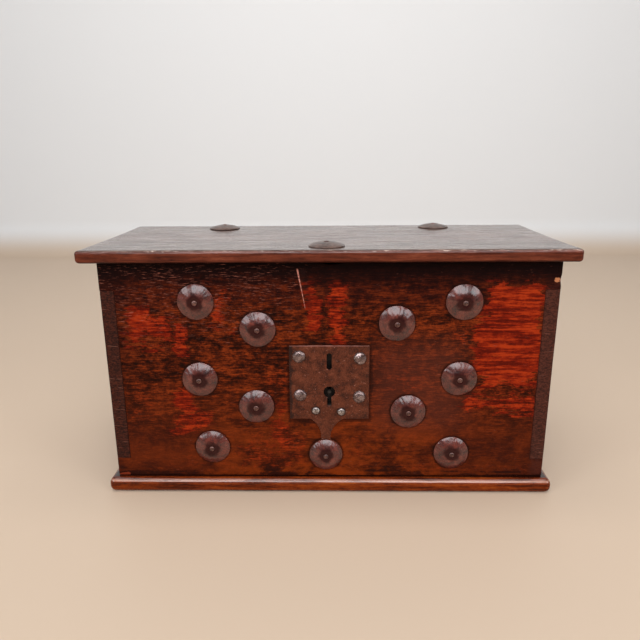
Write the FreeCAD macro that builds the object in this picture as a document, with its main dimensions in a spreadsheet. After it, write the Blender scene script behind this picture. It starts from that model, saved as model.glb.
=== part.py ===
import FreeCAD, Part
import operator
import os

import Sketcher

# A hardwood money box: five boards make the box, a sixth is its hinged lid, and domed metal
# bosses are nailed over the front and the lid. +Z is up, the front faces -Y, and the origin is
# under the middle of the lid, on the floor. All sizes are in millimetres.

os.makedirs("parts", exist_ok=True)
doc = FreeCAD.newDocument("money_box")


# ---------------------------------------------------------------- driving dimensions

DRIVING = {
    # boards
    "lid_width": 602.0,
    "lid_depth": 250.0,
    "lid_thickness": 16.0,
    "side_overhang": 17.0,
    "front_overhang": 18.0,
    "back_overhang": 16.0,
    "body_height": 292.0,
    "board_thickness": 18.0,
    "base_thickness": 20.0,
    "base_overhang": 11.0,
    "lid_edge_radius": 4.5,
    "lid_corner_radius": 6.0,
    "base_edge_radius": 7.5,
    "base_corner_radius": 8.0,
    "tongue_bottom": 46.0,
    "tongue_top": 275.0,
    # bosses and their nails
    "boss_radius": 22.5,
    "boss_rim": 1.2,
    "boss_height": 8.0,
    "boss_wall": 1.8,
    "boss_curve": 29.0,
    "boss_inner_curve": 30.0,
    "lid_boss_rim": 0.8,
    "lid_boss_height": 5.6,
    "lid_boss_curve": 40.0,
    "lid_boss_inner_curve": 66.0,
    "dimple_radius": 5.0,
    "dimple_depth": 0.9,
    "nail_radius": 1.9,
    "nail_clearance": 0.1,
    "nail_head_radius": 3.3,
    "nail_head_height": 1.5,
    "nail_tip_length": 10.0,
    "nail_tip_radius": 0.6,
    "blind_nail_depth": 11.0,
    # strap hinges
    "hinge_spacing": 318.0,
    "strap_width": 26.0,
    "strap_thickness": 2.5,
    "strap_gap": 0.5,
    "lid_strap_reach": 66.0,
    "back_strap_drop": 128.0,
    "knuckle_radius": 5.0,
    "knuckle_standoff": 0.4,
    "knuckle_gap": 0.4,
    "hinge_pin_radius": 2.42,
    "hinge_pin_play": 0.08,
    "hinge_pin_end_play": 0.15,
    "hinge_pin_head_radius": 3.6,
    "hinge_pin_head_length": 1.4,
    "recess_play": 0.3,
    "groove_play": 0.5,
    "left_lid_nail_inset": 33.0,
    "right_lid_nail_inset": 28.0,
    "front_lid_boss_inset": 36.0,
    "front_lid_boss_across": -2.0,
    "strap_nail_radius": 1.5,
    "strap_nail_head_radius": 4.0,
    "strap_nail_head_height": 1.6,
    "strap_nail_depth": 10.0,
    # lock
    "plate_centre_across": 1.0,
    "plate_centre_up": 154.0,
    "plate_width": 102.0,
    "plate_height": 100.0,
    "plate_thickness": 2.0,
    "tail_width": 44.0,
    "tail_shift": -3.0,
    "neck_width": 12.5,
    "neck_shift": -4.8,
    "neck_drop": 24.0,
    "neck_curve": 30.0,
    "tail_pad_radius": 21.8,
    "staple_slot_width": 6.3,
    "staple_slot_height": 22.0,
    "staple_slot_up": 29.0,
    "keyhole_radius": 7.3,
    "keyhole_tail_width": 5.2,
    "keyhole_tail_drop": 19.0,
    "keyhole_up": -12.6,
    "plate_nail_radius": 1.7,
    "plate_nail_head_radius": 8.2,
    "plate_nail_head_height": 4.2,
    "plate_nail_depth": 14.0,
    "rivet_radius": 1.8,
    "rivet_head_radius": 5.0,
    "rivet_head_height": 2.2,
    "case_width": 68.0,
    "case_bottom": 122.0,
    "case_top": 199.0,
    "case_depth": 12.0,
    "case_wall": 1.5,
    "flange_bottom": 109.0,
    "mortise_play": 0.5,
    "bolt_thickness": 5.0,
    "bolt_play": 0.2,
    "bolt_height": 12.0,
    "bolt_length": 26.0,
    "bolt_slot_gap": 2.3,
    "bolt_stem_width": 10.5,
    "bolt_foot_height": 11.0,
    "bolt_foot_width": 18.0,
    "bolt_stem_height": 9.0,
    "talon_width": 6.0,
    "talon_depth": 5.0,
    "keeper_width": 6.0,
    "keeper_wall": 1.5,
    "keeper_spread": 38.0,
    "spring_thickness": 1.0,
    "spring_width": 6.0,
    "spring_length": 23.0,
    "spring_curve": 40.0,
    "spring_gap": 0.3,
    "drill_pin_radius": 2.2,
    # nails under the base
    "base_nail_radius": 1.6,
    "base_nail_head_radius": 4.0,
    "base_nail_head_height": 2.0,
    "base_nail_sink": 0.4,
    "base_nail_grip": 25.0,
    "base_nail_spacing": 140.0,
    "base_side_nail_spacing": 80.0,
}

# Places of the front bosses: to the right of the middle, and above the floor.
FRONT_BOSSES = (
    (-165.0, 261.0),
    (168.0, 260.0),
    (-89.0, 225.5),
    (85.5, 233.0),
    (-165.5, 158.5),
    (166.5, 159.5),
    (-93.5, 121.0),
    (103.0, 114.0),
    (-154.0, 63.0),
    (161.5, 55.0),
    (-3.8, 53.0),
)
TAIL_BOSS = len(FRONT_BOSSES)

# Places of the lock plate's dome-headed nails and rivets, on the same axes.
PLATE_NAILS = ((-37.5, 190.0), (40.0, 187.5), (-36.5, 137.5), (39.5, 135.0))
PLATE_RIVETS = ((-16.5, 115.5), (16.5, 114.0))

# Distances of the back strap's nails below the hinge pin, and of the lid strap's in front of it.
BACK_STRAP_NAILS = (28.0, 70.0, 112.0)
LID_STRAP_NAILS = (34.0, 57.0)


def add_places(group, places):
    """Give every place in a group two spreadsheet words, such as boss_01_across and boss_01_up."""
    for number, (across, up) in enumerate(places, start=1):
        DRIVING["%s_%02d_across" % (group, number)] = across
        DRIVING["%s_%02d_up" % (group, number)] = up


add_places("boss", FRONT_BOSSES)
add_places("plate_nail", PLATE_NAILS)
add_places("plate_rivet", PLATE_RIVETS)
for number, drop in enumerate(BACK_STRAP_NAILS, start=1):
    DRIVING["back_strap_nail_%02d_drop" % number] = drop
for number, reach in enumerate(LID_STRAP_NAILS, start=1):
    DRIVING["lid_strap_nail_%02d_reach" % number] = reach

dims = doc.addObject("Spreadsheet::Sheet", "dims")
for row, (word, number) in enumerate(DRIVING.items(), start=1):
    dims.set("A%d" % row, word)
    dims.set("B%d" % row, str(number))
    dims.setAlias("B%d" % row, word)
doc.recompute()


# ---------------------------------------------------------------- sizes that know their formula

OPERATIONS = {"+": operator.add, "-": operator.sub, "*": operator.mul, "/": operator.truediv}


class Size:
    """A number together with the spreadsheet formula that gives it."""

    def __init__(self, value, formula):
        self.value = value
        self.formula = formula

    def __add__(self, other):
        return combine(self, "+", other)

    def __radd__(self, other):
        return combine(other, "+", self)

    def __sub__(self, other):
        return combine(self, "-", other)

    def __rsub__(self, other):
        return combine(other, "-", self)

    def __mul__(self, other):
        return combine(self, "*", other)

    def __rmul__(self, other):
        return combine(other, "*", self)

    def __truediv__(self, other):
        return combine(self, "/", other)

    def __neg__(self):
        return combine(0, "-", self)


def as_size(number):
    """A Size as it is, or a plain number as a Size."""
    if isinstance(number, Size):
        return number
    return Size(float(number), "(%r)" % float(number))


def combine(first, sign, second):
    """The Size that a sum, difference, product or quotient gives."""
    first = as_size(first)
    second = as_size(second)
    value = OPERATIONS[sign](first.value, second.value)
    return Size(value, "(%s %s %s)" % (first.formula, sign, second.formula))


def dim(word):
    """The Size held in one spreadsheet cell."""
    return Size(DRIVING[word], "dims." + word)


def bind(thing, name, size):
    """Tie a property to a formula."""
    thing.setExpression(name, as_size(size).formula)


# Sizes worked out from the driving ones.
board = dim("board_thickness")
base_top = dim("base_thickness")
body_top = base_top + dim("body_height")
body_width = dim("lid_width") - 2 * dim("side_overhang")
front_face = dim("front_overhang") - dim("lid_depth") / 2
back_face = dim("lid_depth") / 2 - dim("back_overhang")
body_depth = back_face - front_face
front_inside = front_face + board
back_inside = back_face - board
hinge_y = back_face + dim("knuckle_standoff") + dim("knuckle_radius")
recess_depth = dim("strap_thickness") + dim("strap_gap")
hinge_z = body_top + recess_depth - dim("knuckle_radius")
knuckle_length = (dim("strap_width") - 2 * dim("knuckle_gap")) / 3
nail_hole = dim("nail_radius") + dim("nail_clearance")
base_nail_hole = dim("base_nail_radius") + dim("nail_clearance")
base_nail_reach = dim("base_nail_grip") + dim("mortise_play")
plate_x = dim("plate_centre_across")
plate_z = dim("plate_centre_up")
mortise_depth = dim("case_depth") + dim("mortise_play")


# ---------------------------------------------------------------- modelling helpers

def new_body(label):
    """An empty PartDesign body, which holds one sub-part."""
    body = doc.addObject("PartDesign::Body", label)
    body.Label = label
    return body


def place(thing, across=0, depth=0, up=0, axis=None, degrees=0):
    """Put an object at a point of the frame, turned about one axis."""
    turn = FreeCAD.Rotation(axis or FreeCAD.Vector(0, 0, 1), degrees)
    thing.Placement = FreeCAD.Placement(FreeCAD.Vector(0, 0, 0), turn)
    bind(thing, "Placement.Base.x", across)
    bind(thing, "Placement.Base.y", depth)
    bind(thing, "Placement.Base.z", up)


def new_sketch(body, plane, offset=0):
    """A sketch on one of the body's origin planes, moved along that plane's normal."""
    sketch = body.newObject("Sketcher::SketchObject", body.Label + "_sketch")
    origin_plane = [item for item in body.Origin.OriginFeatures if item.Role == plane][0]
    sketch.AttachmentSupport = [(origin_plane, "")]
    sketch.MapMode = "FlatFace"
    bind(sketch, "AttachmentOffset.Base.z", offset)
    return sketch


def fix_point(sketch, edge, end, across, up):
    """Tie one point of a sketch edge to its distances from the sketch's origin."""
    for kind, size in (("DistanceX", as_size(across)), ("DistanceY", as_size(up))):
        number = sketch.addConstraint(Sketcher.Constraint(kind, -1, 1, edge, end, size.value))
        bind(sketch, "Constraints[%d]" % number, size)


def draw_circle(sketch, across, up, radius):
    """A circle tied to its centre and radius."""
    centre = FreeCAD.Vector(as_size(across).value, as_size(up).value, 0)
    edge = sketch.addGeometry(Part.Circle(centre, FreeCAD.Vector(0, 0, 1), as_size(radius).value))
    fix_point(sketch, edge, 3, across, up)
    number = sketch.addConstraint(Sketcher.Constraint("Radius", edge, as_size(radius).value))
    bind(sketch, "Constraints[%d]" % number, radius)


def arc_between(start, end, radius):
    """The arc from start to end whose centre lies left of the way, or right if radius is below 0."""
    chord = end - start
    middle = (start + end) * 0.5
    left = FreeCAD.Vector(-chord.y, chord.x, 0)
    left.normalize()
    half = chord.Length / 2
    rise = (radius * radius - half * half) ** 0.5
    side = 1 if radius > 0 else -1
    centre = middle + left * (side * rise)
    bulge = (middle - centre)
    bulge.normalize()
    return Part.Arc(start, centre + bulge * abs(radius), end)


def draw_outline(sketch, corners, arcs=None):
    """A closed outline through the corners. arcs gives the radius of the edges that are arcs."""
    arcs = arcs or {}
    points = [FreeCAD.Vector(as_size(x).value, as_size(y).value, 0) for x, y in corners]
    starts = []
    ends = []
    for index, start in enumerate(points):
        end = points[(index + 1) % len(points)]
        if index in arcs:
            radius = as_size(arcs[index])
            edge = sketch.addGeometry(arc_between(start, end, radius.value))
            forward = sketch.getPoint(edge, 1).distanceToPoint(start) < 1e-4
            number = sketch.addConstraint(Sketcher.Constraint("Radius", edge, abs(radius.value)))
            bind(sketch, "Constraints[%d]" % number, radius if radius.value > 0 else -radius)
        else:
            edge = sketch.addGeometry(Part.LineSegment(start, end))
            forward = True
        starts.append((edge, 1 if forward else 2))
        ends.append((edge, 2 if forward else 1))
    for index, (across, up) in enumerate(corners):
        fix_point(sketch, starts[index][0], starts[index][1], across, up)
        previous = ends[index - 1]
        sketch.addConstraint(Sketcher.Constraint("Coincident", *previous, *starts[index]))


def box_corners(left, low, right, high):
    """The corners of an upright rectangle."""
    return [(left, low), (right, low), (right, high), (left, high)]


def pad(body, sketch, length, backwards=False):
    """Raise a sketch into a solid."""
    feature = body.newObject("PartDesign::Pad", body.Label + "_pad")
    feature.Profile = sketch
    feature.Reversed = backwards
    bind(feature, "Length", length)
    sketch.Visibility = False
    return feature


def pocket(body, sketch, length, backwards=False):
    """Cut a sketch into the body, and make sure that it does cut."""
    doc.recompute()
    volume = body.Shape.Volume
    feature = body.newObject("PartDesign::Pocket", body.Label + "_pocket")
    feature.Profile = sketch
    feature.Reversed = backwards
    bind(feature, "Length", length)
    sketch.Visibility = False
    doc.recompute()
    if body.Shape.Volume > volume - 1e-3:
        raise RuntimeError(feature.Label + " cuts nothing")
    return feature


def drill(body, plane, offset, centres, radius, length, backwards=False):
    """Cut one round hole at each centre."""
    sketch = new_sketch(body, plane, offset)
    for across, up in centres:
        draw_circle(sketch, across, up, radius)
    return pocket(body, sketch, length, backwards)


def revolve(body, sketch):
    """Turn a sketch about its own upright axis."""
    feature = body.newObject("PartDesign::Revolution", body.Label + "_turning")
    feature.Profile = sketch
    feature.ReferenceAxis = (sketch, ["V_Axis"])
    feature.Angle = 360.0
    sketch.Visibility = False
    return feature


def soften(body, radius, chosen):
    """Round the edges that the test picks."""
    doc.recompute()
    base = body.Tip
    edges = enumerate(base.Shape.Edges, start=1)
    names = ["Edge%d" % number for number, edge in edges if chosen(edge)]
    feature = body.newObject("PartDesign::Fillet", body.Label + "_rounding")
    feature.Base = (base, names)
    bind(feature, "Radius", radius)
    doc.recompute()
    return feature


def is_upright(edge):
    """True for a straight edge along Z."""
    box = edge.BoundBox
    return box.XLength < 1e-6 and box.YLength < 1e-6


def is_level(edge):
    """True for an edge that stays at one height."""
    return edge.BoundBox.ZLength < 1e-6


def primitive(kind, name, **sizes):
    """A Part primitive with its sizes tied to formulas."""
    thing = doc.addObject("Part::" + kind, name)
    for size_name, size in sizes.items():
        bind(thing, size_name, size)
    return thing


def fused(name, shapes):
    """One solid out of several that meet."""
    fusion = doc.addObject("Part::MultiFuse", name)
    fusion.Shapes = shapes
    fusion.Refine = True
    return fusion


def cut(name, base, tools):
    """A solid less the tools."""
    result = doc.addObject("Part::Cut", name)
    result.Base = base
    result.Tool = tools[0] if len(tools) == 1 else fused(name + "_tools", tools)
    result.Refine = True
    return result


def group(label, pattern, places):
    """Copies of one fastener as a group of separate solids. A place is what place() takes."""
    copies = []
    for number, where in enumerate(places, start=1):
        copy = doc.addObject("App::Link", "%s_%02d" % (label, number))
        copy.LinkedObject = pattern
        copy.LinkTransform = True
        place(copy, **where)
        copies.append(copy)
    compound = doc.addObject("Part::Compound", label)
    compound.Label = label
    compound.Links = copies
    return compound


SIDEWAYS = FreeCAD.Vector(0, 1, 0)
ACROSS = FreeCAD.Vector(1, 0, 0)
OUT_OF_FRONT = {"axis": ACROSS, "degrees": 90}
OUT_OF_BACK = {"axis": ACROSS, "degrees": -90}
DOWNWARDS = {"axis": ACROSS, "degrees": 180}
parts = []


# ---------------------------------------------------------------- places that repeat

boss_places = [
    (dim("boss_%02d_across" % number), dim("boss_%02d_up" % number))
    for number in range(1, len(FRONT_BOSSES) + 1)
]
plate_nail_places = [
    (dim("plate_nail_%02d_across" % number), dim("plate_nail_%02d_up" % number))
    for number in range(1, len(PLATE_NAILS) + 1)
]
rivet_places = [
    (dim("plate_rivet_%02d_across" % number), dim("plate_rivet_%02d_up" % number))
    for number in range(1, len(PLATE_RIVETS) + 1)
]
hinge_places = {"left": -dim("hinge_spacing") / 2, "right": dim("hinge_spacing") / 2}
lid_nail_places = {
    "left": dim("lid_depth") / 2 - dim("left_lid_nail_inset"),
    "right": dim("lid_depth") / 2 - dim("right_lid_nail_inset"),
}
back_nail_heights = [
    hinge_z - dim("back_strap_nail_%02d_drop" % number) for number in range(1, len(BACK_STRAP_NAILS) + 1)
]
lid_strap_nail_depths = [
    hinge_y - dim("lid_strap_nail_%02d_reach" % number) for number in range(1, len(LID_STRAP_NAILS) + 1)
]
front_lid_boss = (dim("front_lid_boss_across"), dim("front_lid_boss_inset") - dim("lid_depth") / 2)
long_row = [dim("base_nail_spacing") * step for step in (-1.5, -0.5, 0.5, 1.5)]
short_row = [(front_face + back_face) / 2 + dim("base_side_nail_spacing") * step for step in (-0.5, 0.5)]
side_line = body_width / 2 - board / 2
base_nail_places = [(x, front_face + board / 2) for x in long_row]
base_nail_places += [(x, back_face - board / 2) for x in long_row]
base_nail_places += [(x, y) for x in (-side_line, side_line) for y in short_row]


# ---------------------------------------------------------------- boards

def long_board(label, outside, first_hole_row):
    """The front or back board, with the notches at its ends that take the side boards' tongues."""
    body = new_body(label)
    end = body_width / 2
    shoulder = end - board
    low = dim("tongue_bottom")
    high = dim("tongue_top")
    sketch = new_sketch(body, "XZ_Plane")
    draw_outline(sketch, [
        (-end, base_top), (end, base_top), (end, low), (shoulder, low), (shoulder, high), (end, high),
        (end, body_top), (-end, body_top), (-end, high), (-shoulder, high), (-shoulder, low), (-end, low),
    ])
    pad(body, sketch, board, backwards=True)
    centres = [(x, first_hole_row) for x in long_row]
    drill(body, "XY_Plane", base_top, centres, base_nail_hole, base_nail_reach, backwards=True)
    place(body, depth=outside)
    return body


def side_board(label, inside):
    """A side board with a tongue at each end, as long as the box is deep."""
    body = new_body(label)
    low = dim("tongue_bottom")
    high = dim("tongue_top")
    sketch = new_sketch(body, "YZ_Plane")
    draw_outline(sketch, [
        (front_inside, base_top), (back_inside, base_top), (back_inside, low), (back_face, low),
        (back_face, high), (back_inside, high), (back_inside, body_top), (front_inside, body_top),
        (front_inside, high), (front_face, high), (front_face, low), (front_inside, low),
    ])
    pad(body, sketch, board)
    centres = [(board / 2, y) for y in short_row]
    drill(body, "XY_Plane", base_top, centres, base_nail_hole, base_nail_reach, backwards=True)
    place(body, across=inside)
    return body


def front_board():
    """The front board, with the nail holes and the mortise that the lock is let into."""
    body = long_board("front_board", front_face, board / 2)
    drill(body, "XZ_Plane", 0, boss_places, nail_hole, board)
    nail_radius = dim("plate_nail_radius") + dim("nail_clearance")
    drill(body, "XZ_Plane", 0, plate_nail_places, nail_radius, dim("plate_nail_depth") + dim("mortise_play"))
    half = dim("case_width") / 2 + dim("mortise_play")
    sketch = new_sketch(body, "XZ_Plane")
    low = dim("flange_bottom") - dim("mortise_play")
    high = dim("case_top") + dim("mortise_play")
    draw_outline(sketch, box_corners(plate_x - half, low, plate_x + half, high))
    pocket(body, sketch, mortise_depth)
    return body


def back_board():
    """The back board, with blind holes for the nails of the back straps."""
    body = long_board("back_board", back_inside, board / 2)
    centres = [(x, z) for x in hinge_places.values() for z in back_nail_heights]
    radius = dim("strap_nail_radius") + dim("nail_clearance")
    drill(body, "XZ_Plane", -board, centres, radius, dim("strap_nail_depth"), backwards=True)
    return body


def base_board():
    """The bottom board, with bull-nosed edges and sunk holes for the nails that hold it."""
    body = new_body("bottom_board")
    reach = body_width / 2 + dim("base_overhang")
    sketch = new_sketch(body, "XY_Plane")
    front = front_face - dim("base_overhang")
    back = back_face + dim("base_overhang")
    draw_outline(sketch, box_corners(-reach, front, reach, back))
    pad(body, sketch, base_top)
    soften(body, dim("base_corner_radius"), is_upright)
    soften(body, dim("base_edge_radius"), is_level)
    drill(body, "XY_Plane", 0, base_nail_places, base_nail_hole, base_top, backwards=True)
    head_radius = dim("base_nail_head_radius") + dim("nail_clearance")
    sink = dim("base_nail_head_height") + dim("base_nail_sink")
    drill(body, "XY_Plane", 0, base_nail_places, head_radius, sink, backwards=True)
    place(body)
    return body


def strap_outline(hinge_end, far_end, half_width):
    """A strap as long as its hinge end to its far end, which is a half circle. Sketch X runs across."""
    bend = far_end + half_width
    corners = [(half_width, hinge_end), (-half_width, hinge_end), (-half_width, bend), (half_width, bend)]
    return corners, {2: half_width * 1.0001}


def lid_board():
    """The lid, with worn round edges, recesses for the hinge straps and holes for the nails."""
    body = new_body("lid_board")
    sketch = new_sketch(body, "XY_Plane")
    half = dim("lid_width") / 2
    reach = dim("lid_depth") / 2
    draw_outline(sketch, box_corners(-half, -reach, half, reach))
    pad(body, sketch, dim("lid_thickness"))
    soften(body, dim("lid_corner_radius"), is_upright)
    soften(body, dim("lid_edge_radius"), is_level)
    recess_half = dim("strap_width") / 2 + dim("recess_play")
    groove_radius = dim("knuckle_radius") + dim("groove_play")
    groove_height = recess_depth - dim("knuckle_radius")
    for x in hinge_places.values():
        recess = new_sketch(body, "XY_Plane")
        far_end = hinge_y - dim("lid_strap_reach") - dim("recess_play")
        corners, arcs = strap_outline(hinge_y, far_end, recess_half)
        draw_outline(recess, [(x + across, y) for across, y in corners], arcs)
        pocket(body, recess, recess_depth, backwards=True)
        end = x + recess_half + dim("hinge_pin_head_length") + dim("recess_play")
        length = 2 * (end - x)
        drill(body, "YZ_Plane", end, [(hinge_y, groove_height)], groove_radius, length)
        centres = [(x, y) for y in lid_strap_nail_depths]
        radius = dim("strap_nail_radius") + dim("nail_clearance")
        depth = recess_depth + dim("strap_nail_depth")
        drill(body, "XY_Plane", 0, centres, radius, depth, backwards=True)
    centres = [front_lid_boss] + [(x, lid_nail_places[side]) for side, x in hinge_places.items()]
    depth = dim("blind_nail_depth") + dim("mortise_play")
    drill(body, "XY_Plane", dim("lid_thickness"), centres, nail_hole, depth)
    place(body, up=body_top)
    return body


parts.append(base_board())
parts.append(front_board())
parts.append(back_board())
parts.append(side_board("left_side_board", -body_width / 2))
parts.append(side_board("right_side_board", body_width / 2 - board))
parts.append(lid_board())


# ---------------------------------------------------------------- bosses

def boss(label, kind=""):
    """A hollow domed boss, open underneath, with a dimple and a nail hole at its middle."""
    body = new_body(label)
    sketch = new_sketch(body, "XZ_Plane")
    rim = dim("boss_radius")
    dimple_floor = dim(kind + "boss_height") - dim("dimple_depth")
    draw_outline(sketch, [
        (rim, 0), (rim, dim(kind + "boss_rim")), (dim("dimple_radius"), dim(kind + "boss_height")),
        (dim("dimple_radius") - dim("dimple_depth"), dimple_floor), (nail_hole, dimple_floor),
        (nail_hole, dimple_floor - dim("boss_wall")), (rim - dim("boss_wall"), 0),
    ], {1: dim(kind + "boss_curve"), 5: -dim(kind + "boss_inner_curve")})
    revolve(body, sketch)
    return body


for number, (x, z) in enumerate(boss_places, start=1):
    part = boss("front_boss_%02d" % number)
    lift = dim("plate_thickness") if number == TAIL_BOSS else 0
    place(part, x, front_face - lift, z, **OUT_OF_FRONT)
    parts.append(part)

lid_top = body_top + dim("lid_thickness")
lid_boss_places = {
    "lid_boss_rear_left": (hinge_places["left"], lid_nail_places["left"]),
    "lid_boss_rear_right": (hinge_places["right"], lid_nail_places["right"]),
    "lid_boss_front": front_lid_boss,
}
for label, (x, y) in lid_boss_places.items():
    part = boss(label, "lid_")
    place(part, x, y, lid_top)
    parts.append(part)


# ---------------------------------------------------------------- nails and rivets

def domed_head(name, radius, height, seat=0):
    """The domed head of a nail, with its flat side at the seat."""
    head = primitive("Ellipsoid", name + "_head", Radius1=height, Radius2=radius, Radius3=radius)
    head.Angle1 = 0
    head.Angle2 = 90
    place(head, up=seat)
    return head


def straight_nail(name, shank_radius, head_radius, head_height, length, seat=0):
    """A dome-headed nail along Z. Its head sits at the seat and its shank ends that length below."""
    shank = primitive("Cylinder", name + "_shank", Radius=shank_radius, Height=length)
    place(shank, up=seat - length)
    head = domed_head(name, head_radius, head_height, seat)
    return fused(name, [head, shank])


def clenched_nail(name, through):
    """A boss nail that runs through the work and is hammered over behind it."""
    radius = dim("nail_radius")
    seat = dim("boss_height") - dim("dimple_depth")
    shank = primitive("Cylinder", name + "_shank", Radius=radius, Height=seat + through + radius)
    place(shank, up=-through - radius)
    elbow = primitive("Sphere", name + "_elbow", Radius=radius)
    place(elbow, up=-through - radius)
    tip = primitive(
        "Cone", name + "_tip", Radius1=radius, Radius2=dim("nail_tip_radius"), Height=dim("nail_tip_length")
    )
    place(tip, up=-through - radius, axis=SIDEWAYS, degrees=90)
    head = domed_head(name, dim("nail_head_radius"), dim("nail_head_height"), seat)
    return fused(name, [head, shank, elbow, tip])


front_nail = clenched_nail("front_nail", board)
tail_nail = clenched_nail("tail_nail", board + dim("plate_thickness"))
nail_copies = [dict(across=x, depth=front_face, up=z, **OUT_OF_FRONT) for x, z in boss_places[:-1]]
parts.append(group("front_boss_nails", front_nail, nail_copies))
tail_x, tail_z = boss_places[-1]
tail_copy = dict(across=tail_x, depth=front_face - dim("plate_thickness"), up=tail_z, **OUT_OF_FRONT)
parts.append(group("tail_boss_nail", tail_nail, [tail_copy]))

boss_seat = dim("lid_boss_height") - dim("dimple_depth")
short_nail = straight_nail(
    "short_nail", dim("nail_radius"), dim("nail_head_radius"), dim("nail_head_height"),
    boss_seat + dim("blind_nail_depth"), boss_seat,
)
rear_copies = [dict(across=x, depth=lid_nail_places[side], up=lid_top) for side, x in hinge_places.items()]
parts.append(group("lid_rear_boss_nails", short_nail, rear_copies))
front_copy = dict(across=front_lid_boss[0], depth=front_lid_boss[1], up=lid_top)
parts.append(group("lid_front_boss_nail", short_nail, [front_copy]))

plate_nail = straight_nail(
    "plate_nail", dim("plate_nail_radius"), dim("plate_nail_head_radius"), dim("plate_nail_head_height"),
    dim("plate_nail_depth") + dim("plate_thickness"),
)
plate_front = front_face - dim("plate_thickness")
plate_copies = [dict(across=x, depth=plate_front, up=z, **OUT_OF_FRONT) for x, z in plate_nail_places]
parts.append(group("lock_plate_nails", plate_nail, plate_copies))


def rivet(name):
    """A rivet through the lock plate and the case's flange, hammered out behind."""
    grip = dim("plate_thickness") + dim("case_wall")
    head = domed_head(name, dim("rivet_head_radius"), dim("rivet_head_height"))
    shank = primitive("Cylinder", name + "_shank", Radius=dim("rivet_radius"), Height=grip)
    place(shank, up=-grip)
    tail_height = dim("case_wall")
    tail = primitive(
        "Cone", name + "_tail", Radius1=dim("rivet_radius"), Radius2=dim("rivet_radius") * 1.7,
        Height=tail_height,
    )
    place(tail, up=-grip - tail_height)
    return fused(name, [head, shank, tail])


rivet_copies = [dict(across=x, depth=plate_front, up=z, **OUT_OF_FRONT) for x, z in rivet_places]
parts.append(group("lock_plate_rivets", rivet("rivet"), rivet_copies))


def base_nail(name):
    """A flat-headed nail, driven up into the edge of a board."""
    grip = base_top + dim("base_nail_grip") - dim("base_nail_sink")
    shank = primitive("Cylinder", name + "_shank", Radius=dim("base_nail_radius"), Height=grip)
    head = primitive(
        "Cylinder", name + "_head", Radius=dim("base_nail_head_radius"), Height=dim("base_nail_head_height")
    )
    return fused(name, [shank, head])


base_copies = [dict(across=x, depth=y, up=dim("base_nail_sink")) for x, y in base_nail_places]
parts.append(group("base_nails", base_nail("base_nail"), base_copies))

strap_nail = straight_nail(
    "strap_nail", dim("strap_nail_radius"), dim("strap_nail_head_radius"), dim("strap_nail_head_height"),
    dim("strap_nail_depth") + dim("strap_thickness") - dim("nail_clearance"),
)
strap_back = back_face + dim("strap_thickness")
back_copies = [
    dict(across=x, depth=strap_back, up=z, **OUT_OF_BACK)
    for x in hinge_places.values() for z in back_nail_heights
]
parts.append(group("back_strap_nails", strap_nail, back_copies))
strap_bottom = body_top + dim("strap_gap")
lid_strap_copies = [
    dict(across=x, depth=y, up=strap_bottom, **DOWNWARDS)
    for x in hinge_places.values() for y in lid_strap_nail_depths
]
parts.append(group("lid_strap_nails", strap_nail, lid_strap_copies))


# ---------------------------------------------------------------- strap hinges

def knuckle(name, radius, length, middle):
    """A round bar along X about the hinge pin's line, its own middle at that place."""
    bar = primitive("Cylinder", name, Radius=radius, Height=length)
    place(bar, middle - length / 2, hinge_y, hinge_z, axis=SIDEWAYS, degrees=90)
    return bar


def lid_strap(label, x):
    """The strap let into the lid, with two knuckles and a round end."""
    half = dim("strap_width") / 2
    leaf = primitive(
        "Box", label + "_leaf", Length=dim("strap_width"), Width=dim("lid_strap_reach") - half,
        Height=dim("strap_thickness"),
    )
    place(leaf, x - half, hinge_y - dim("lid_strap_reach") + half, strap_bottom)
    round_end = primitive("Cylinder", label + "_end", Radius=half, Height=dim("strap_thickness"))
    place(round_end, x, hinge_y - dim("lid_strap_reach") + half, strap_bottom)
    outer = half - knuckle_length / 2
    knuckles = [
        knuckle("%s_knuckle_%d" % (label, number), dim("knuckle_radius"), knuckle_length, x + outer * side)
        for number, side in enumerate((-1, 1))
    ]
    solid = fused(label + "_solid", [leaf, round_end] + knuckles)
    bore = knuckle(
        label + "_bore", dim("hinge_pin_radius") + dim("hinge_pin_play"), dim("strap_width") + 2, x
    )
    gap = knuckle(
        label + "_gap", dim("knuckle_radius") + dim("knuckle_gap"), knuckle_length + 2 * dim("knuckle_gap"), x
    )
    holes = []
    for number, y in enumerate(lid_strap_nail_depths):
        hole = primitive(
            "Cylinder", "%s_hole_%d" % (label, number),
            Radius=dim("strap_nail_radius") + dim("nail_clearance"),
            Height=dim("strap_thickness") * 3,
        )
        place(hole, x, y, strap_bottom - dim("strap_thickness"))
        holes.append(hole)
    strap = cut(label, solid, [bore, gap] + holes)
    strap.Label = label
    return strap


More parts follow.
